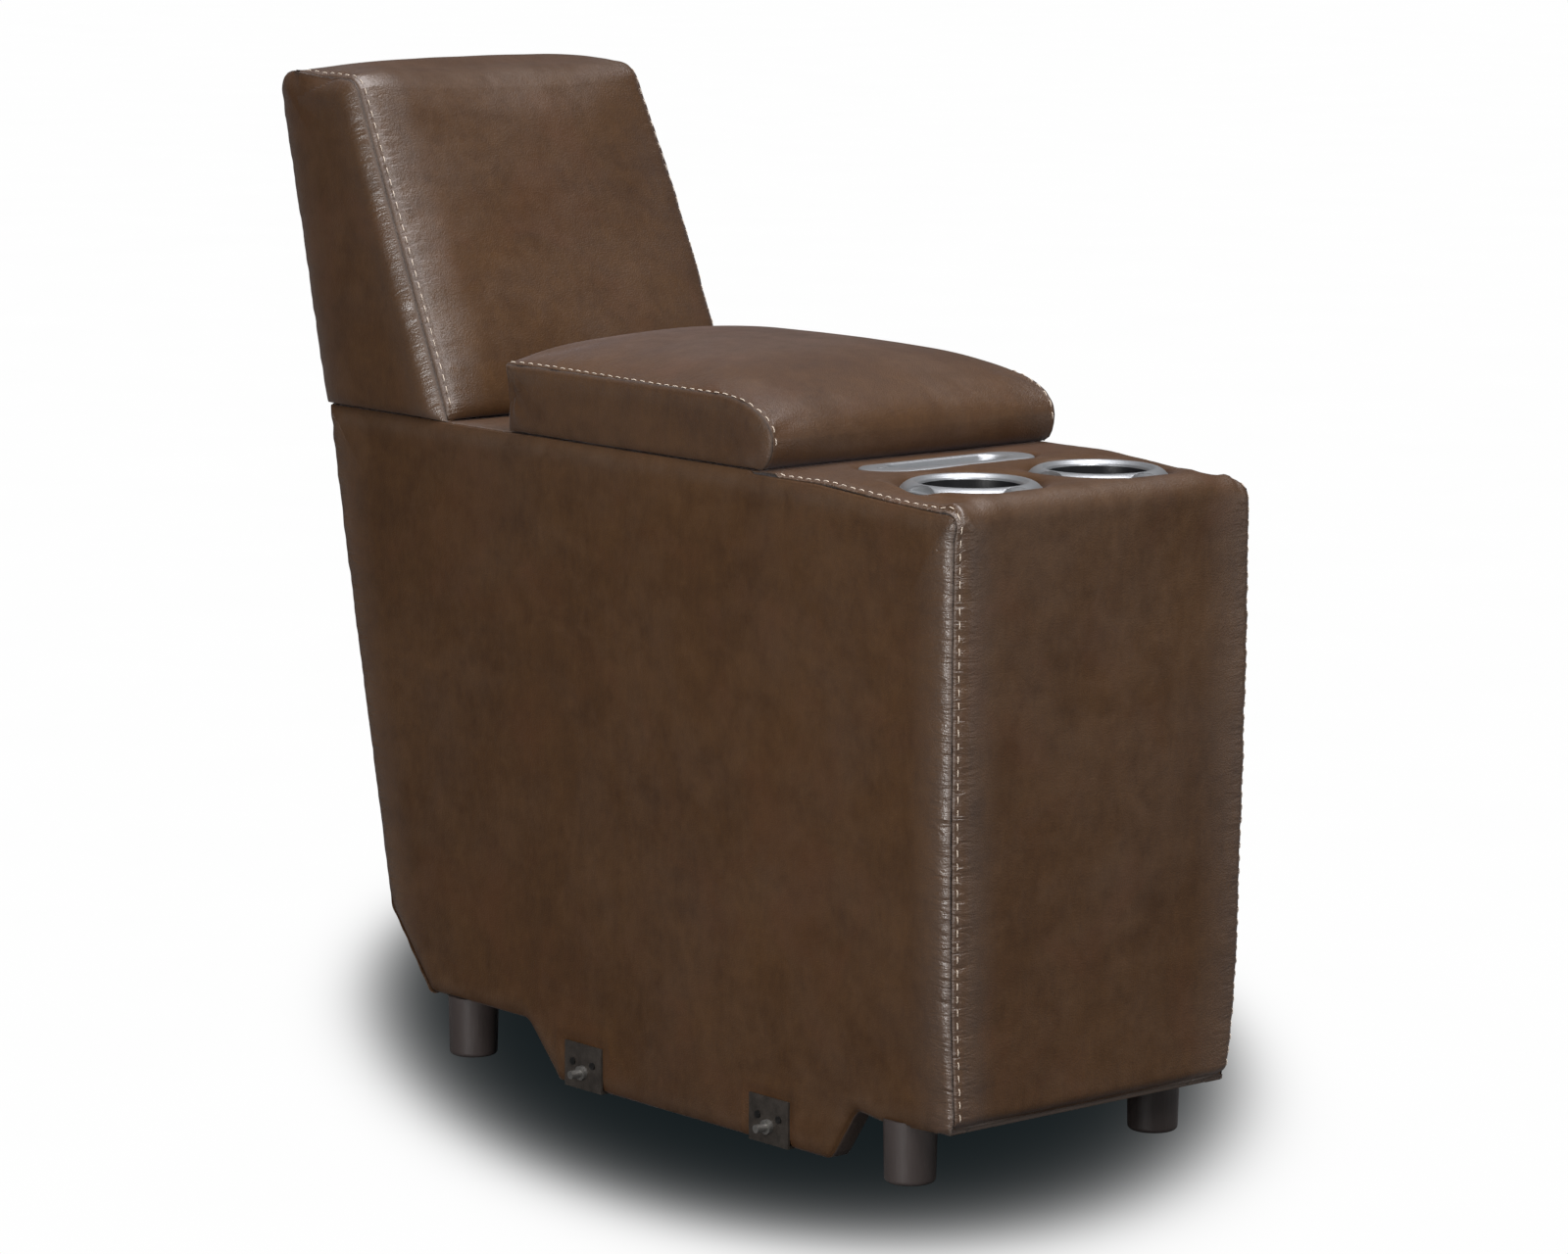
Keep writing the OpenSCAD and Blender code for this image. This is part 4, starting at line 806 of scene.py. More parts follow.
def side_cover(side):
    hide = Hide()
    bottom = rounded_line(skirt, skirt_rounds, 0.0045)
    foot_z = [(p.x, p.y) for p in bottom]
    hem_line = SeamLine(bottom)
    rear_way = (Vector((deck_rear, deck_z)) - Vector(knee)).normalized()
    ys = margin + spaced([margin[-1], *(y for y, _ in skirt[3:8]), knee[0] - 0.035], side_cell)[1:]
    ys += [knee[0] - d for d in reversed(knee_margin)]

    def spot(y0, share):
        low = between(foot_z, y0)
        top = deck_z - droop(side * side_seam_x, y0)
        y, z = y0 + y0 * (deck_rear / knee[0] - 1) * share, low + (top - low) * share
        rear = (Vector((y, z)) - Vector(knee)).cross(rear_way)
        (away, run), (second, _), _ = sorted(((y, z), (top - z, deck_z + y), (abs(rear), 2 + z)))
        hem = min(hem_line.nearest((y, z))[0], 0.05) if z < 0.16 else 0.05
        roll = max(fall(top - z, side_roll_r), fall(abs(rear), side_roll_r))
        rise = asin(clamp((z - top + roll_r) / roll_r))
        r, turn = corner_turn(side, z, level_of(deck_run - front_edges[3] + roll_r * rise))
        left = max(0.0, pi / 2 - turn - y / r)
        past_plate = min(max(abs(y - p) - plate_half, z - plate_top) for p in plate_places)
        press = hill(max(0.0, past_plate), 0.0, 0.0035)
        wide = body_face(side, y, z) + plate_bulge * hill(past_plate, 0.009, 0.006)
        wide += (plate_x - wide) * press
        wide += front_bulge * hill(y, 0.034, 0.018) * min(1.0, (z - 0.05) / 0.10) ** 2
        tuck_in = hem_tuck * fall(hem, hem_roll_r) * (1 - roll) * smooth((y - 0.008) / 0.030)
        x = wide - max(r * (1 - cos(left)), side_roll_drop * roll) - tuck_in
        back = r * (1 - cos(turn))
        near_front, near_top = exp(-y / 0.05), exp(-(top - z) / 0.03)
        y, z = turned_in(y, z, 0.014, top, 1)
        y, z = turned_in(y, z, 0.006, hem_z - 0.001, -1)
        y += back * near_front * cos(rise)
        z -= back * near_top * sin(rise)
        # Paler edge colour beside the seams and the hem: wear and painted sheen.
        rub = 0.55 * hill(away, 0.011, 0.009) + 0.25 * hill(hem, 0.010, 0.008)
        crease = unclear(away, second - away)
        crease = 4.0 * crease + 0.022 if deck_z < run < 2 else crease + 0.002 * (run > 2)
        return hide.spot(at(side * x, y, z), crease, run, min(1.0, rub), calm=1 - press)

    high = deck_z - hem_z
    shares = [d / high for d in margin]
    shares += [k / high for k in spaced([margin[-1], high - margin[-1]], side_cell)[1:-1]]
    shares += [1 - d / high for d in reversed(margin)]
    columns = hide.grid(ys, shares, spot)
    edge = columns[0][:-1] + [c[-1] for c in columns[:-1]] + columns[-1][::-1]
    lip_of(hide, edge, at(side * 0.17, 0.45, 0.35))
    last = [c[0] for c in columns]
    hems = [hide.points[c[0]] for c in columns]
    for x in under_xs:
        under = []
        for k, p in enumerate(hems):
            way = way_at(hems, k)
            down = Vector((0, way.z, -way.y)).normalized() * under_drop
            y, z = p.y + down.y, p.z + down.z
            if y - front_y < 0.030:
                y, z = max(y, front_y + board_y - 0.0001), min(z, board_low - 0.0004)
            # A seam distance of 0 paints shade on the strips wrapped under the bottom edge.
            under.append(hide.spot(Vector((side * x, y, z)), 0.0, calm=0.0))
        hide.strips([last, under])
        last = under
    return hide.make(f"side_leather_{hands[side]}", "base", f"side_cover_{hands[side]}", Vector((side, 0, 0)),
                     seed=3.0 + side, puckers=1.1, groove=0.0)


for side in hands:
    side_cover(side)

# Rear cover: leather over foam on the rear board and on the slope under it, sewn to the side
# covers and to the end of the deck panel, and stapled under the bottom edge.
rear_seam_x = 0.1796


def across_columns(seam):
    """Places across a panel from seam to seam, closer together beside the seams."""
    near = (0.021, 0.017, 0.0135, 0.0105, 0.0082, stitch_inset, 0.0043, 0.0026, 0.0015, 0.0007, 0.0)
    xs = spaced([0.0, seam - 0.025], 0.006) + [seam - d for d in near]
    return [-x for x in reversed(xs[1:])] + xs


def rear_panel(name, body, node, line, outward, seed, fullness, foot, far_run):
    """Panel stretched between its side seams, along a line that starts at its foot."""
    hide = Hide()
    runs = run_along(line)

    def spot(i, x):
        p, run, end = line[i], runs[i], runs[-1] - runs[i]
        share = abs(x) / rear_seam_x
        fill = fullness * cos(pi * share / 2) ** 0.5 * sin(pi * min(1.0, run / runs[-1])) ** 0.5
        away = min(rear_seam_x - abs(x), end) + 0.002
        place = at(x, p.x + fill - foot * fall(run, 0.010), p.y)
        calm = min(1.0, run / 0.01) if foot else min(1.0, end / 0.02)
        return hide.spot(place, away, run if away < end else far_run + x, calm=calm)

    hide.grid(range(len(line)), across_columns(rear_seam_x), spot)
    return hide.make(name, body, node, outward, seed=seed)


rear_line = rounded_line([(0.768, skirt_z - 0.0008), (0.776, skirt_z - 0.0008), knee,
                          (deck_rear, deck_z + 0.0005), (deck_end + 0.0012, deck_z + 0.0005)],
                         [0, 0.010, 0.030, 0.006, 0], 0.0055)
rear_panel("rear_leather", "base", "rear_cover", rear_line, Vector((0, 1, -0.2)), seed=6.0,
                     fullness=0.0015, foot=0.0, far_run=3)

# Cup holders: satin silver bezels pressed into the deck's padding, each a domed ring with four
# scallops that show the flat flange, and a short throat over a deep black cup.
satin_silver = figured("satin_silver", (0.31, 0.325, 0.34), (0.42, 0.435, 0.45), 60.0,
                       relief=0.00005, smooth=0.35, rough=0.46, metallic=0.75)
black_plastic = figured("black_cup_plastic", (0.006, 0.006, 0.007), (0.013, 0.013, 0.014), 90.0, (1, 1, 0.3),
                        0.2, relief=0.0001, smooth=0.3, rough=0.45)
dress(black_plastic, "cup_well_left", "cup_well_right")
bezel_r, dome_end = 0.065, 0.0642
scallop_r, scallop_reach = 0.040, 0.008
bezel_dome = [(0.0473, 0.6356), (0.0474, 0.6360), (0.0476, 0.6366), (0.0480, 0.6375), (0.0489, 0.6384),
              (0.0500, 0.6388), (0.0508, 0.6394), (0.0520, 0.6404), (0.0536, 0.6409), (0.0555, 0.6408),
              (0.0580, 0.6400), (0.0606, 0.6386), (0.0628, 0.6369), (dome_end, 0.6353)]
outer_dome = bezel_dome[5:]
throat_wall = ((0.0474, 0.6358), (0.0471, 0.6260), (0.0466, 0.6190), (0.0442, 0.6168))


def turned_piece(name, body, node, finish, rings, turns):
    """Piece made of rings of points, each given by its angle."""
    points = [ring(2 * pi * k / turns) for ring in rings for k in range(turns)]
    piece = new_piece(name, mesh_of(name, points, ring_faces(0, len(rings), turns)), finish, body)
    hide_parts(node)


def scallop_edge(a):
    """Radius where the dome ends at an angle."""
    turn = (a + pi / 4) % (pi / 2) - pi / 4
    far = bezel_r + scallop_r - scallop_reach
    inner = scallop_r ** 2 - (far * sin(turn)) ** 2
    cut = far * cos(turn) - sqrt(inner) if inner > 0 else 1.0
    return min(dome_end, cut)


def bezel_ring(x, r, z):
    """Ring of the dome or of the throat, which stops at the scallops."""
    def ring(a):
        reach = min(r, scallop_edge(a))
        height = between(outer_dome, reach) if r > outer_dome[0][0] else z
        return at(x + reach * cos(a), cup_y + reach * sin(a), height)
    return ring


def bezel_foot(x, step):
    """Ring of the scallops' wall, and of the flange round it, counted from the dome."""
    def ring(a):
        edge = scallop_edge(a)
        top = between(outer_dome, edge)
        wall = ((edge + 0.0004, top - 0.0005), (edge + 0.0006, max(0.6349, top - 0.0016)),
                (min(edge + 0.0010, 0.0648), 0.6346), (0.0652, 0.6344), (0.0655, 0.6338), (0.0655, 0.6310))
        r, z = wall[step]
        return at(x + r * cos(a), cup_y + r * sin(a), z)
    return ring


for side, hand in hands.items():
    x = side * cup_x
    rings = [bezel_ring(x, r, z) for r, z in bezel_dome] + [bezel_foot(x, step) for step in range(6)]
    turned_piece(f"bezel_{hand}", "base", "cup_bezels", satin_silver, rings, 160)
    rings = [bezel_ring(x, r, z) for r, z in throat_wall]
    turned_piece(f"cup_throat_{hand}", "base", "cup_bezels", black_plastic, rings, 96)

# Tray: an oblong silver pressing between the cups and the lid, with a smooth scoop in its middle
# and a screw at each end.
scoop_reach, scoop_draw = 0.052, 0.010
tray_profile = [(0.0278, 0.0, 0.6340), (0.0282, 0.0, 0.6372), (0.0276, 0.0, 0.6390), (0.0260, 0.0, 0.6398),
                (0.0225, 0.3, 0.6403), (0.0195, 0.75, 0.6405), (0.0180, 0.95, 0.6400), (0.0170, 1.0, 0.6385),
                (0.0158, 1.05, 0.6355), (0.0140, 1.15, 0.6318), (0.0112, 1.3, 0.6285), (0.0075, 1.5, 0.6266),
                (0.0036, 1.75, 0.6260), (0.0002, 2.0, 0.6259)]


def tray_ring(r, slide, z):
    """Oblong ring, whose ends slide in from the tray's ends, 0, to the scoop's, 1, and its bottom, 2."""
    reach = tray_reach + (scoop_reach - tray_reach) * min(slide, 1.0) - scoop_draw * max(0.0, slide - 1.0)

    def ring(a):
        x = copysign(reach, cos(a)) * min(1.0, abs(cos(a)) * 40) + r * cos(a)
        return at(x, tray_y + r * sin(a), z)
    return ring


turned_piece("tray_pressing", "base", "tray", satin_silver,
             [tray_ring(*ring) for ring in tray_profile], 96)
dress(satin_silver, "tray_screws")

# Ganging brackets: dark steel plates that lap the sides' bottom edge near the floor, each with a
# worn steel stud and two small black screws. The console hooks onto the seat beside it with them.
dark_steel = figured("dark_steel", (0.030, 0.025, 0.021), (0.078, 0.066, 0.056), 70.0, (1, 1, 1), 0.22,
                     relief=0.0003, smooth=0.30, rough=0.5, metallic=0.5)
dress(dark_steel, "gang_brackets", "back_tongues", "back_sockets")
black_steel = figured("black_steel", (0.006, 0.006, 0.006), (0.014, 0.013, 0.012), 150.0,
                      smooth=0.25, rough=0.38, metallic=0.4)
dress(black_steel, "gang_screws")
worn_steel = figured("worn_steel", (0.15, 0.145, 0.135), (0.36, 0.35, 0.33), 160.0, (1, 1, 1), 0.25,
                     relief=0.0002, smooth=0.34, rough=0.55, metallic=0.9)
dress(worn_steel, "gang_studs")

# Lid: a padded top over a plywood board, hinged at the rear, with two rubber bumpers under it. The
# crowned top panel runs over the nose and is sewn to side bands, with a row of thread close to the
# seam. At the rear corners the leather is gathered into a tuck.
rubber = figured("black_rubber", (0.012, 0.012, 0.012), (0.022, 0.022, 0.022), 120.0,
                 relief=0.0003, smooth=0.6, rough=0.8)
dress(rubber, "lid_bumpers")
lid_in, lid_face = 0.1785, 0.1814
lid_y, lid_rear = 0.252, 0.648
lid_low, lid_seam_z, lid_crown = 0.6399, 0.705, 0.022
lid_board_y, lid_board_top = lid_y + 0.016, 0.660
nose_z, nose_run, nose_crown_run, nose_tuck = 0.667, 0.080, 0.150, 0.019
lid_rear_r = 0.014
lid_seam_y = lid_rear - 0.002
lid_end_x = lid_in + 0.0010
lid_stitch_inset = 0.0036
lid_steps, lid_stations = (9, 46, 36, 5), 56
tuck_z, notch_depth, fold_height, flare_height = 0.677, 0.0055, 0.0014, 0.0040
hinge_x, hinge_half, hinge_clear_z = 0.100, 0.0378, 0.6500
band_roll_r, band_tuck = 0.014, 0.005
rear_shares = (0.0, 0.015, 0.04, 0.08, 0.14, 0.22, 0.32, 0.44, 0.56, 0.68, 0.80, 0.90, 0.96, 1.0)
filling_frames = 20


def lid_line(share):
    """Side outline of the lid's top at a share of its crown, from the rear seam over the nose."""
    rear, flat, nose, tuck = lid_steps
    top = lid_seam_z + lid_crown * share
    run = nose_run + (nose_crown_run - nose_run) * share
    front, back = lid_y + 0.0025 * (1 - share), lid_seam_y - lid_rear_r

    def quarter(steps, first=1):
        return [(sin(pi / 2 * k / steps), cos(pi / 2 * k / steps)) for k in range(first, steps + 1)]

    line = [(back + lid_rear_r * c, lid_seam_z + (top - lid_seam_z) * s) for s, c in quarter(rear, 0)]
    line += [(back + (front + run - back) * k / flat, top) for k in range(1, flat + 1)]
    line += [(front + run - run * s, nose_z + (top - nose_z) * c) for s, c in quarter(nose)]
    line += [(front + nose_tuck * (1 - c), nose_z + (lid_low - nose_z) * s) for s, c in quarter(tuck)]
    return line


def gathered(p):
    """Moves a point of the lid for the gathered tuck in its rear corners."""
    side = copysign(1.0, p.x)
    back, up = p.y - (front_y + lid_rear - 0.004), p.z - tuck_z
    out = abs(p.x) - lid_in
    r = hypot(back, up)
    if r > 0.09 or out < -0.03:
        return p
    near = hill(min(out, 0.0), 0.0, 0.012)
    notch = notch_depth * hill(up, 0.0, 0.011) * hill(back, 0.0, 0.016) * near
    faded = exp(-(r - 0.012) / 0.020 if r > 0.012 else -0.4)
    folds = fold_height * cos(7.5 * atan2(up, -back) + 0.6) * faded * near
    flare = flare_height * hill(p.z, lid_seam_z, 0.014) * hill(back, 0.0, 0.022) * near
    return p + Vector((side * (folds + flare - 0.35 * notch), -notch, 0))


def held_of(hide, inner):
    """Points of a pad that hold still while it is filled: its seams and its underside."""
    return [k for k, away in enumerate(hide.away) if away < 0.0012] + [k for row in inner for k in row]


def puff(piece, held, cap, smoothed):
    """Fills a sewn pad, so that the leather swells between the held points. The swelling is capped
    and evened out, and the mesh is made finer."""
    swell(piece, held, cap, smoothed)
    piece.modifiers.new("fineness", "SUBSURF").levels = 1


def swell(piece, held, cap, smoothed):
    """Lets the pad swell as cloth under pressure for some frames, and keeps the shape."""
    piece.vertex_groups.new(name="held").add(held, 1.0, "REPLACE")
    cloth = piece.modifiers.new("filling", "CLOTH")
    settings = cloth.settings
    for key, value in (("quality", 6), ("mass", 0.3), ("tension_stiffness", 14),
                       ("compression_stiffness", 14), ("shear_stiffness", 6), ("bending_stiffness", 1.5),
                       ("use_pressure", True), ("uniform_pressure_force", 4.0),
                       ("vertex_group_mass", "held")):
        setattr(settings, key, value)
    settings.effector_weights.gravity = 0
    for step in range(1, filling_frames + 1):
        bpy.context.scene.frame_set(step)
    swollen = piece.evaluated_get(bpy.context.evaluated_depsgraph_get())
    places = [v.co.copy() for v in swollen.data.vertices]
    piece.modifiers.remove(cloth)
    moves = numpy.array([tuple(place - v.co) for v, place in zip(piece.data.vertices, places)])
    moves *= numpy.minimum(1.0, cap / numpy.maximum(1e-9, numpy.linalg.norm(moves, axis=1)))[:, None]
    pairs = numpy.array([tuple(edge.vertices) for edge in piece.data.edges])
    free = numpy.ones(len(moves))
    free[held] = 0.0
    for _ in range(smoothed):
        total, count = numpy.zeros_like(moves), numpy.zeros(len(moves))
        for near, far in ((0, 1), (1, 0)):
            numpy.add.at(total, pairs[:, near], moves[pairs[:, far]])
            numpy.add.at(count, pairs[:, near], 1.0)
        moves += (total / count[:, None] - moves) * free[:, None]
    for v, move in zip(piece.data.vertices, moves):
        v.co += Vector(move)
    piece.data.update()
    bpy.context.scene.frame_set(1)


def close_pad(hide, outer, inner):
    """Joins the outer leather of a pad and its underside all round."""
    hide.strips([row[::-1] for row in inner])
    hide.strips([outer[-1], inner[-1]])
    hide.strips([inner[0], outer[0]])
    hide.strips([[row[-1] for row in outer], [row[-1] for row in inner]])
    hide.strips([[row[0] for row in inner], [row[0] for row in outer]])


def lid_top():
    hide = Hide()
    stations = [-cos(pi * k / lid_stations) for k in range(lid_stations + 1)]
    lines = [lid_line(sqrt(max(0.0, 1 - abs(s) ** 2.2))) for s in stations]
    outer = []
    for j, run in enumerate(run_along(lid_line(0.0))):
        row = [gathered(at(s * lid_in, *line[j])) for s, line in zip(stations, lines)]
        walked = run_along(row)
        outer.append([hide.spot(p, min(w, walked[-1] - w), run) for p, w in zip(row, walked)])
    hide.strips(outer)
    upper, tuck = sum(lid_steps[:3]), lid_steps[3]
    under = [(lid_seam_y + (lid_board_y - lid_seam_y) * k / upper, lid_board_top) for k in range(upper + 1)]
    under += [(lid_board_y, lid_board_top + (lid_low - lid_board_top) * k / tuck) for k in range(1, tuck + 1)]
    inner = [[hide.spot(at(s * lid_in, y, z), 0.1, 0.0, calm=0.0) for s in stations] for y, z in under]
    close_pad(hide, outer, inner)
    piece = hide.make("lid_top_leather", "lid", "lid_cushion", None, stitched=lid_stitch_inset, seed=11.0,
                      finish=smooth_leather)
    puff(piece, held_of(hide, inner), 0.012, 6)
    spots = piece.data.vertices
    paths = []
    for way in (1, -1):
        path = []
        for row in (row[::way] for row in outer):
            k = next(k for k in range(1, len(row)) if hide.away[row[k]] >= lid_stitch_inset)
            near, far = hide.away[row[k - 1]], hide.away[row[k]]
            path.append(spots[row[k - 1]].co.lerp(spots[row[k]].co, (lid_stitch_inset - near) / (far - near)))
        paths.append(path[2:-3])
    return piece, paths


lid_panel, lid_paths = lid_top()
for hand, path in zip(hands.values(), lid_paths):
    sew_row("lid_stitches_" + hand, "lid", lid_panel, path)


def lid_band(side):
    hide = Hide()
    line = lid_line(0.0)
    seam = SeamLine([Vector(p) for p in line])
    shares = [0.0, 0.006, 0.016, 0.032, 0.055, 0.085, 0.12] + [0.12 + 0.76 * k / 9 for k in range(1, 9)]
    shares += [0.88, 0.915, 0.945, 0.968, 0.984, 0.994, 1.0]
    first = [lid_seam_y - d for d in (0.0, 0.0008, 0.0020, 0.0038, 0.0062)]
    tops = [(y, lid_seam_z) for y in first] + [p for p in line if p[0] < first[-1] - 0.001]

    def spot(top, share):
        y, z = top
        low_y = max(y, lid_y + nose_tuck)
        p = Vector((y + (low_y - y) * share, z + (lid_low - z) * share))
        away, run, clear = seam.nearest(p)
        back = lid_seam_y - p.x
        clear = min(clear, abs(away - back))
        roll = fall(min(away, back), band_roll_r)
        x = lid_face + 0.0014 * (1 - exp(-away / 0.02))
        x -= (x - lid_in + 0.0003) * roll + band_tuck * fall(p.y - lid_low, 0.011) * (1 - roll)
        # Paler edge colour beside the seam: wear and painted sheen.
        rub = 0.5 * hill(away, 0.009, 0.007)
        away, run = min((away, run), (back, 5 + p.y))
        return hide.spot(gathered(at(side * x, p.x, p.y)), unclear(away, clear), run, rub)

    columns = hide.grid(tops, shares, spot)
    edge = columns[0][::-1] + [c[0] for c in columns[1:]]
    lip_of(hide, edge, at(side * 0.17, 0.45, 0.67))
    last = [c[-1] for c in columns]
    for x in (0.1730, 0.1640):
        last = hide.fold(last, lambda p: Vector((side * x, p.y, lid_low - 0.0004)))
    return hide.make(f"lid_band_{hands[side]}_leather", "lid", f"lid_band_{hands[side]}",
                     Vector((side, 0, 0)), seed=14.0 + side, groove=0.0, finish=smooth_leather)


for side in hands:
    lid_band(side)


def lid_rear_band():
    hide = Hide()

    def spot(share, x):
        low = hinge_clear_z if abs(abs(x) - hinge_x) < hinge_half else lid_low + 0.002
        z = lid_seam_z + (low - lid_seam_z) * share
        top, foot, end = lid_seam_z - z, z - low, lid_end_x - abs(x)
        roll = 1 - (1 - fall(top, 0.008)) * (1 - fall(end, 0.010)) * (1 - fall(z - lid_low, 0.003) * 0.5)
        place = gathered(at(x, lid_rear - 0.0060 * roll, z))
        run = 7 + x if top < end else 8 + z
        return hide.spot(place, min(top, end), run, calm=min(1.0, foot / 0.01) * 0.5)

    rows = hide.grid(rear_shares, across_columns(lid_end_x), spot)
    hide.fold(rows[-1], lambda p: p + Vector((0, -0.006, 0)))
    return hide.make("lid_band_rear_leather", "lid", "lid_band_rear", Vector((0, 1, 0)), seed=17.0,
                     finish=smooth_leather)


lid_rear_band()

# Backrest: boards inside, a crowned front pad that turns over the top, a panel on each side that
# rolls into its seams, and a flat rear panel. A row of thread runs beside both side seams of the
# pad, from its foot over the top corner to the rear seam.
back_low, back_top = 0.6405, 0.972
back_foot = 0.198
front_lean, rear_lean = 24.5, 13.5
front_foot, rear_foot = Vector((back_y, back_low)), Vector((back_y + back_foot, back_low))
front_corner, rear_corner = (Vector((foot.x + (back_top - back_low) * tan(radians(lean)), back_top))
                             for foot, lean in ((front_foot, front_lean), (rear_foot, rear_lean)))
back_front_r, back_rear_r = 0.026, 0.022
front_reach = back_front_r * tan(radians((90 - front_lean) / 2))
rear_reach = back_rear_r * tan(radians((90 + rear_lean) / 2))
rear_seam_y = rear_corner.x - rear_reach
back_seam_x = 0.1800
back_turns = {-1: (0.025, radians(35)), 1: (0.012, radians(75))}
back_side_x, back_fuller, back_side_cells, turn_cells = 0.1872, 0.0066, 20, 13
pad_swell, pad_foot_roll, pad_thick, pad_ending = 0.0064, 0.006, 0.0130, 0.05
side_swell, rear_drop, rear_roll_r = 0.0016, 0.0076, 0.034
side_centre = Vector((0.88, 0.80))


def back_face(side, z):
    """How far out the backrest's side stands. The right one swells out below its top."""
    fuller = back_fuller * smooth((back_top - z) / 0.13) * min(1.0, 0.5 + (z - back_low) / 0.10)
    return back_side_x + (fuller if side > 0 else 0.0)


def back_pad():
    hide = Hide()
    line = rounded_line([front_foot, front_corner, (rear_seam_y, back_top)], [0, back_front_r, 0], 0.0046)
    inner_line = rounded_line([front_foot + Vector((0.0145, 0)), front_corner + Vector((0.0085, -pad_thick)),
                               (rear_seam_y, back_top - pad_thick)], [0, 0.012, 0], 0.012)
    runs = run_along(line)
    xs = across_columns(back_seam_x)

    def spot(i, x):
        p, run, end = line[i], runs[i], runs[-1] - runs[i]
        way = way_at(line, i).normalized()
        ending = smooth(end / pad_ending)
        side = 1 if x > 0 else -1
        r, turn = back_turns[side]
        aside = back_seam_x - abs(x)
        left = max(0.0, turn - aside / r)
        turned = back_face(side, p.y) - r * (1 - sin(left)) - max(0.0, aside - r * turn)
        turned += (rear_seam_x + 0.0004 - aside - turned) * (1 - ending)
        place = side * (abs(x) + (turned - abs(x)) * smooth((abs(x) - 0.110) / 0.045))
        rise = min(1.0, 0.6 + run / 0.12) * min(1.0, (end + 0.004) / pad_ending) ** 0.5
        bulge = pad_swell * rise * (1 - (1 - min(1.0, aside / 0.060)) ** 2)
        bulge = bulge - pad_foot_roll * fall(run, 0.014) - r * (1 - cos(left)) * ending
        q = p + Vector((-way.y, way.x)) * bulge
        away = min(aside, end * 2.5)
        # Paler edge colour over the top roll: wear and painted sheen.
        return hide.spot(at(place, q.x, q.y), away, run if away < end * 2.5 else 9 + x,
                         0.4 * hill(run, runs[-1] - 0.095, 0.02), calm=min(1.0, run / 0.01))

    outer = hide.grid(range(len(line)), xs, spot)
    inner = []
    for run in runs:
        share = run / runs[-1] * (len(inner_line) - 1)
        k = min(int(share), len(inner_line) - 2)
        q = inner_line[k].lerp(inner_line[k + 1], share - k)
        inner.append([hide.spot(at(x * 0.975, q.x, q.y), 0.1, 0.0, calm=0.0) for x in xs])
    close_pad(hide, outer, inner)
    piece = hide.make("back_pad_leather", "back", "back_pad", None, stitched=stitch_inset, seed=21.0,
                      puckers=1.2, finish=glossy_leather)
    puff(piece, held_of(hide, inner) + outer[0], 0.007, 30)
    paths = []
    for side in hands:
        column = min(range(len(xs)), key=lambda k: abs(xs[k] - side * (back_seam_x - stitch_inset)))
        paths.append([piece.data.vertices[row[column]].co.copy() for row in outer[3:-1]])
    return piece, paths


back_panel, back_paths = back_pad()
for hand, path in zip(hands.values(), back_paths):
    sew_row("back_stitches_" + hand, "back", back_panel, path)


def back_side(side):
    hide = Hide()
    steep = [0.0, 0.0016, 0.0038, 0.0066, 0.0100, 0.0145]
    turns = [t / turn_cells for t in range(1, turn_cells + 1)]
    front_turn = front_corner - (front_corner - front_foot).normalized() * front_reach
    rear_turn = rear_corner - (rear_corner - rear_foot).normalized() * rear_reach
    front_end, rear_end = Vector((front_corner.x + front_reach, back_top)), Vector((rear_seam_y, back_top))
    length = (front_turn - front_foot).length
    climbs = [d / length for d in steep + spaced([steep[-1], length], side_cell)[1:]]
    fronts = [front_foot.lerp(front_turn, share) for share in climbs]
    fronts += [bend(front_turn, front_corner, front_end, t) for t in turns]
    rears = [rear_foot.lerp(rear_turn, share) for share in climbs]
    rears += [bend(rear_turn, rear_corner, rear_end, t) for t in turns]
    outline, rear_seam = SeamLine(fronts + rears[::-1]), SeamLine(rears)
    front_seam = SeamLine(fronts + [rears[-1]])
    turn_r, turn = back_turns[side]
    near, count = margin[:-1], back_side_cells

    def spot(p, share):
        away, run, clear = outline.nearest(p)
        foot = p.y - back_low
        front_away, behind_away = front_seam.nearest(p)[0], rear_seam.nearest(p)[0]
        ending = smooth((p - rears[-1]).length / pad_ending)
        left = max(0.0, pi / 2 - turn - front_away / turn_r)
        bulge = side_swell * sin(pi * min(1.0, foot / (back_top - back_low))) * sin(pi * share)
        drop = max(turn_r * (1 - cos(left)) * ending, rear_drop * fall(behind_away, rear_roll_r))
        x = back_face(side, p.y) + bulge - drop - 0.0060 * fall(foot, 0.012) * max(0.0, 1 - drop / 0.007)
        inset = turn_r * (1 - cos(turn)) * ending * exp(-front_away / 0.022)
        p = p + front_seam.inward(p, side_centre) * inset
        # Paler edge colour beside the seams: wear and painted sheen.
        return hide.spot(at(side * x, p.x, p.y), unclear(away, clear) + 0.002 * (share > 0.5), 12 + run,
                         0.5 * hill(away, 0.010, 0.009))

    rows = []
    for f, r in zip(fronts, rears):
        span = (r - f).length
        shares = [d / span for d in near]
        shares += [(near[-1] + (span - 2 * near[-1]) * k / count) / span for k in range(1, count)]
        shares += [1 - d / span for d in reversed(near)]
        rows.append([spot(f.lerp(r, share), share) for share in shares])
    hide.strips(rows)
    edge = [row[0] for row in rows[:-1]] + rows[-1] + [row[-1] for row in rows[-2::-1]]
    lip_of(hide, edge, at(side * 0.17, *side_centre))
    hide.fold(rows[0], lambda p: Vector((side * 0.165, p.y, back_low - 0.0001)))
    return hide.make(f"back_side_leather_{hands[side]}", "back", f"back_cover_{hands[side]}",
                     Vector((side, 0, 0)), seed=24.0 + side, puckers=0.9, groove=0.0, finish=glossy_leather)


for side in hands:
    back_side(side)

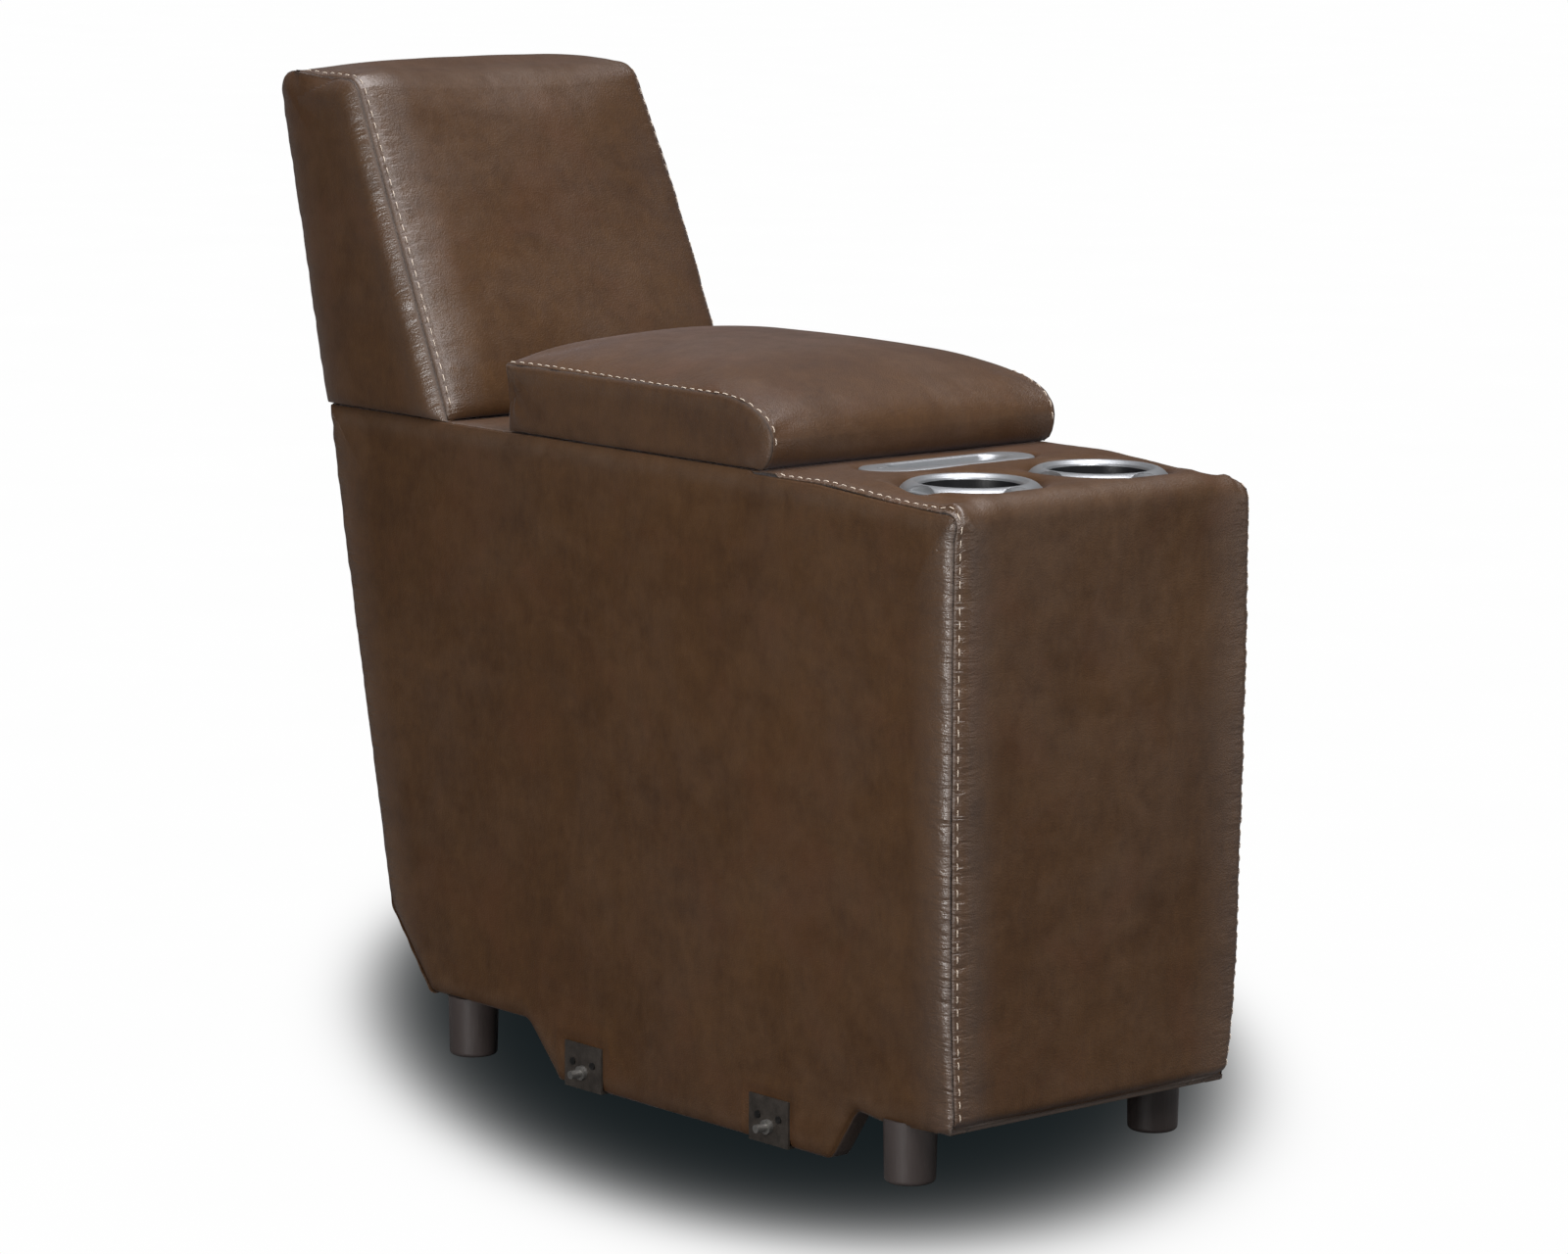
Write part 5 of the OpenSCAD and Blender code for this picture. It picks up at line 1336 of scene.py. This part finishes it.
back_rear_line = rounded_line([rear_foot, rear_corner, (rear_seam_y + 0.0002, back_top)], [0, back_rear_r, 0],
                              0.0052)
rear_panel("back_rear_leather", "back", "back_cover_rear", back_rear_line, Vector((0, 1, 0)),
                     seed=28.0, fullness=0.0016, foot=0.004, far_run=15)

# Studio: a white floor that runs on as the background, with a soft dark shadow painted into its
# colour under the console. A broad light comes from above, and soft boxes stand at the left, in
# front and at the right front. The camera stands where the photograph was taken.
floor_reach = 30
shade_centre = (0.2169, 0.1714, 0.0)
shade_reach = (0.4080, 0.8740, 1.0)
shade_way = radians(-33.8)
shade_power, shade_width, screen_power = 4.36, 0.336, 2.2


def floor_finish():
    """White floor with a dark soft-edged shadow painted into its colour round the base. It is seen at
    an even brightness, and throws little light back onto the object."""
    made, tree, shader = start_finish("studio_floor", roughness=0.7, specular_ior_level=0.1)
    where = add(tree, "TexCoord").outputs["Object"]
    speck = add(tree, "TexNoise", {"Vector": where, "Scale": 3.0, "Detail": 3.0}).outputs[0]
    pale = blend_of(tree, speck, (0.985, 0.985, 0.985), (1.0, 1.0, 1.0))
    # Painted shadow: the floor's seen colour darkens in a soft oval round the base.
    oval = add(tree, "Mapping", {"Vector": where, "Location": shade_centre, "Rotation": (0, 0, shade_way),
                                 "Scale": shade_reach}, vector_type="TEXTURE").outputs[0]
    away = add(tree, "VectorMath", {0: oval}, operation="LENGTH").outputs["Value"]
    steep = math_of(tree, "POWER", away, shade_power)
    steep = range_of(tree, steep, 0.0, 1.0 + shade_width * 16, 1.0 / shade_width, -16.0)
    soft = math_of(tree, "ADD", math_of(tree, "POWER", e, steep), 1.0)
    light = math_of(tree, "POWER", soft, -screen_power)
    glow = add(tree, "Emission", {"Color": blend_of(tree, light, (0.0065, 0.0105, 0.0120), pale)})
    tree.links.new(blend_of(tree, speck, (0.11, 0.11, 0.11), (0.13, 0.13, 0.13)), shader.inputs["Base Color"])
    seen = add(tree, "LightPath").outputs["Is Camera Ray"]
    both = add(tree, "MixShader", {0: seen, 1: shader.outputs[0], 2: glow.outputs[0]})
    tree.links.new(both.outputs[0], tree.nodes["Material Output"].inputs["Surface"])
    return made


floor_corners = [(x * floor_reach, y * floor_reach, 0) for x, y in ((-1, -1), (1, -1), (1, 1), (-1, 1))]
floor_mesh = mesh_of("studio_floor", floor_corners, [(0, 1, 2, 3)])
floor_mesh.materials.append(floor_finish())
floor = bpy.data.objects.new("studio_floor", floor_mesh)
bpy.context.scene.collection.objects.link(floor)

world = bpy.data.worlds.new("studio")
world.use_nodes = True
sky = world.node_tree
toward = add(sky, "TexCoord").outputs["Generated"]
camera_way = (0.646, 0.747, 0.155)
behind = add(sky, "VectorMath", {0: toward, 1: camera_way}, operation="DOT_PRODUCT").outputs["Value"]
sky.links.new(range_of(sky, behind, 0.35, 1.0, 0.20, 1.80), sky.nodes["Background"].inputs["Strength"])
bpy.context.scene.world = world


def lamp_at(name, kind, place, target, power, tint):
    """Lamp that shines from a place towards a target."""
    lamp = bpy.data.lights.new(name, kind)
    lamp.energy = power
    lamp.color = tint
    light = bpy.data.objects.new(name, lamp)
    light.location = place
    light.rotation_euler = (Vector(target) - Vector(place)).to_track_quat("-Z", "Y").to_euler()
    bpy.context.scene.collection.objects.link(light)
    return lamp


top_light = lamp_at("broad_top_light", "SUN", (0.2, -0.6, 4.0), (0.0, 0.0, 0.0), 4.35, (0.985, 0.97, 0.99))
top_light.angle = radians(60)
for name, place, size, power in (("side_box", (-3.3, -1.2, 0.85), (1.0, 1.3), 74.0),
                                 ("front_box", (-0.9, -2.9, 2.2), (1.4, 0.9), 44.0),
                                 ("right_box", (2.1, -3.1, 0.9), (1.3, 1.5), 10.0)):
    box = lamp_at(name, "AREA", place, (0.0, 0.0, 0.45), power, (1.0, 0.99, 0.99))
    box.shape = "RECTANGLE"
    box.size, box.size_y = size

azimuth, pitch, roll = radians(-40.84), radians(9.03), radians(0.37)
forward = Vector((-sin(azimuth) * cos(pitch), cos(azimuth) * cos(pitch), -sin(pitch)))
right = Vector((cos(azimuth), sin(azimuth), 0))
up = right.cross(forward)
right, up = right * cos(roll) + up * sin(roll), up * cos(roll) - right * sin(roll)
lens = bpy.data.cameras.new("camera")
lens.sensor_fit = "HORIZONTAL"
lens.sensor_width = 36.0
lens.lens = 129.38
lens.clip_end = 200
camera = bpy.data.objects.new("camera", lens)
camera_turn = Matrix((right, up, -forward)).transposed().to_4x4()
camera.matrix_world = Matrix.Translation((-3.53245, -4.1519, 1.31257)) @ camera_turn
bpy.context.scene.collection.objects.link(camera)
bpy.context.scene.camera = camera
bpy.context.scene.view_settings.view_transform = "Standard"
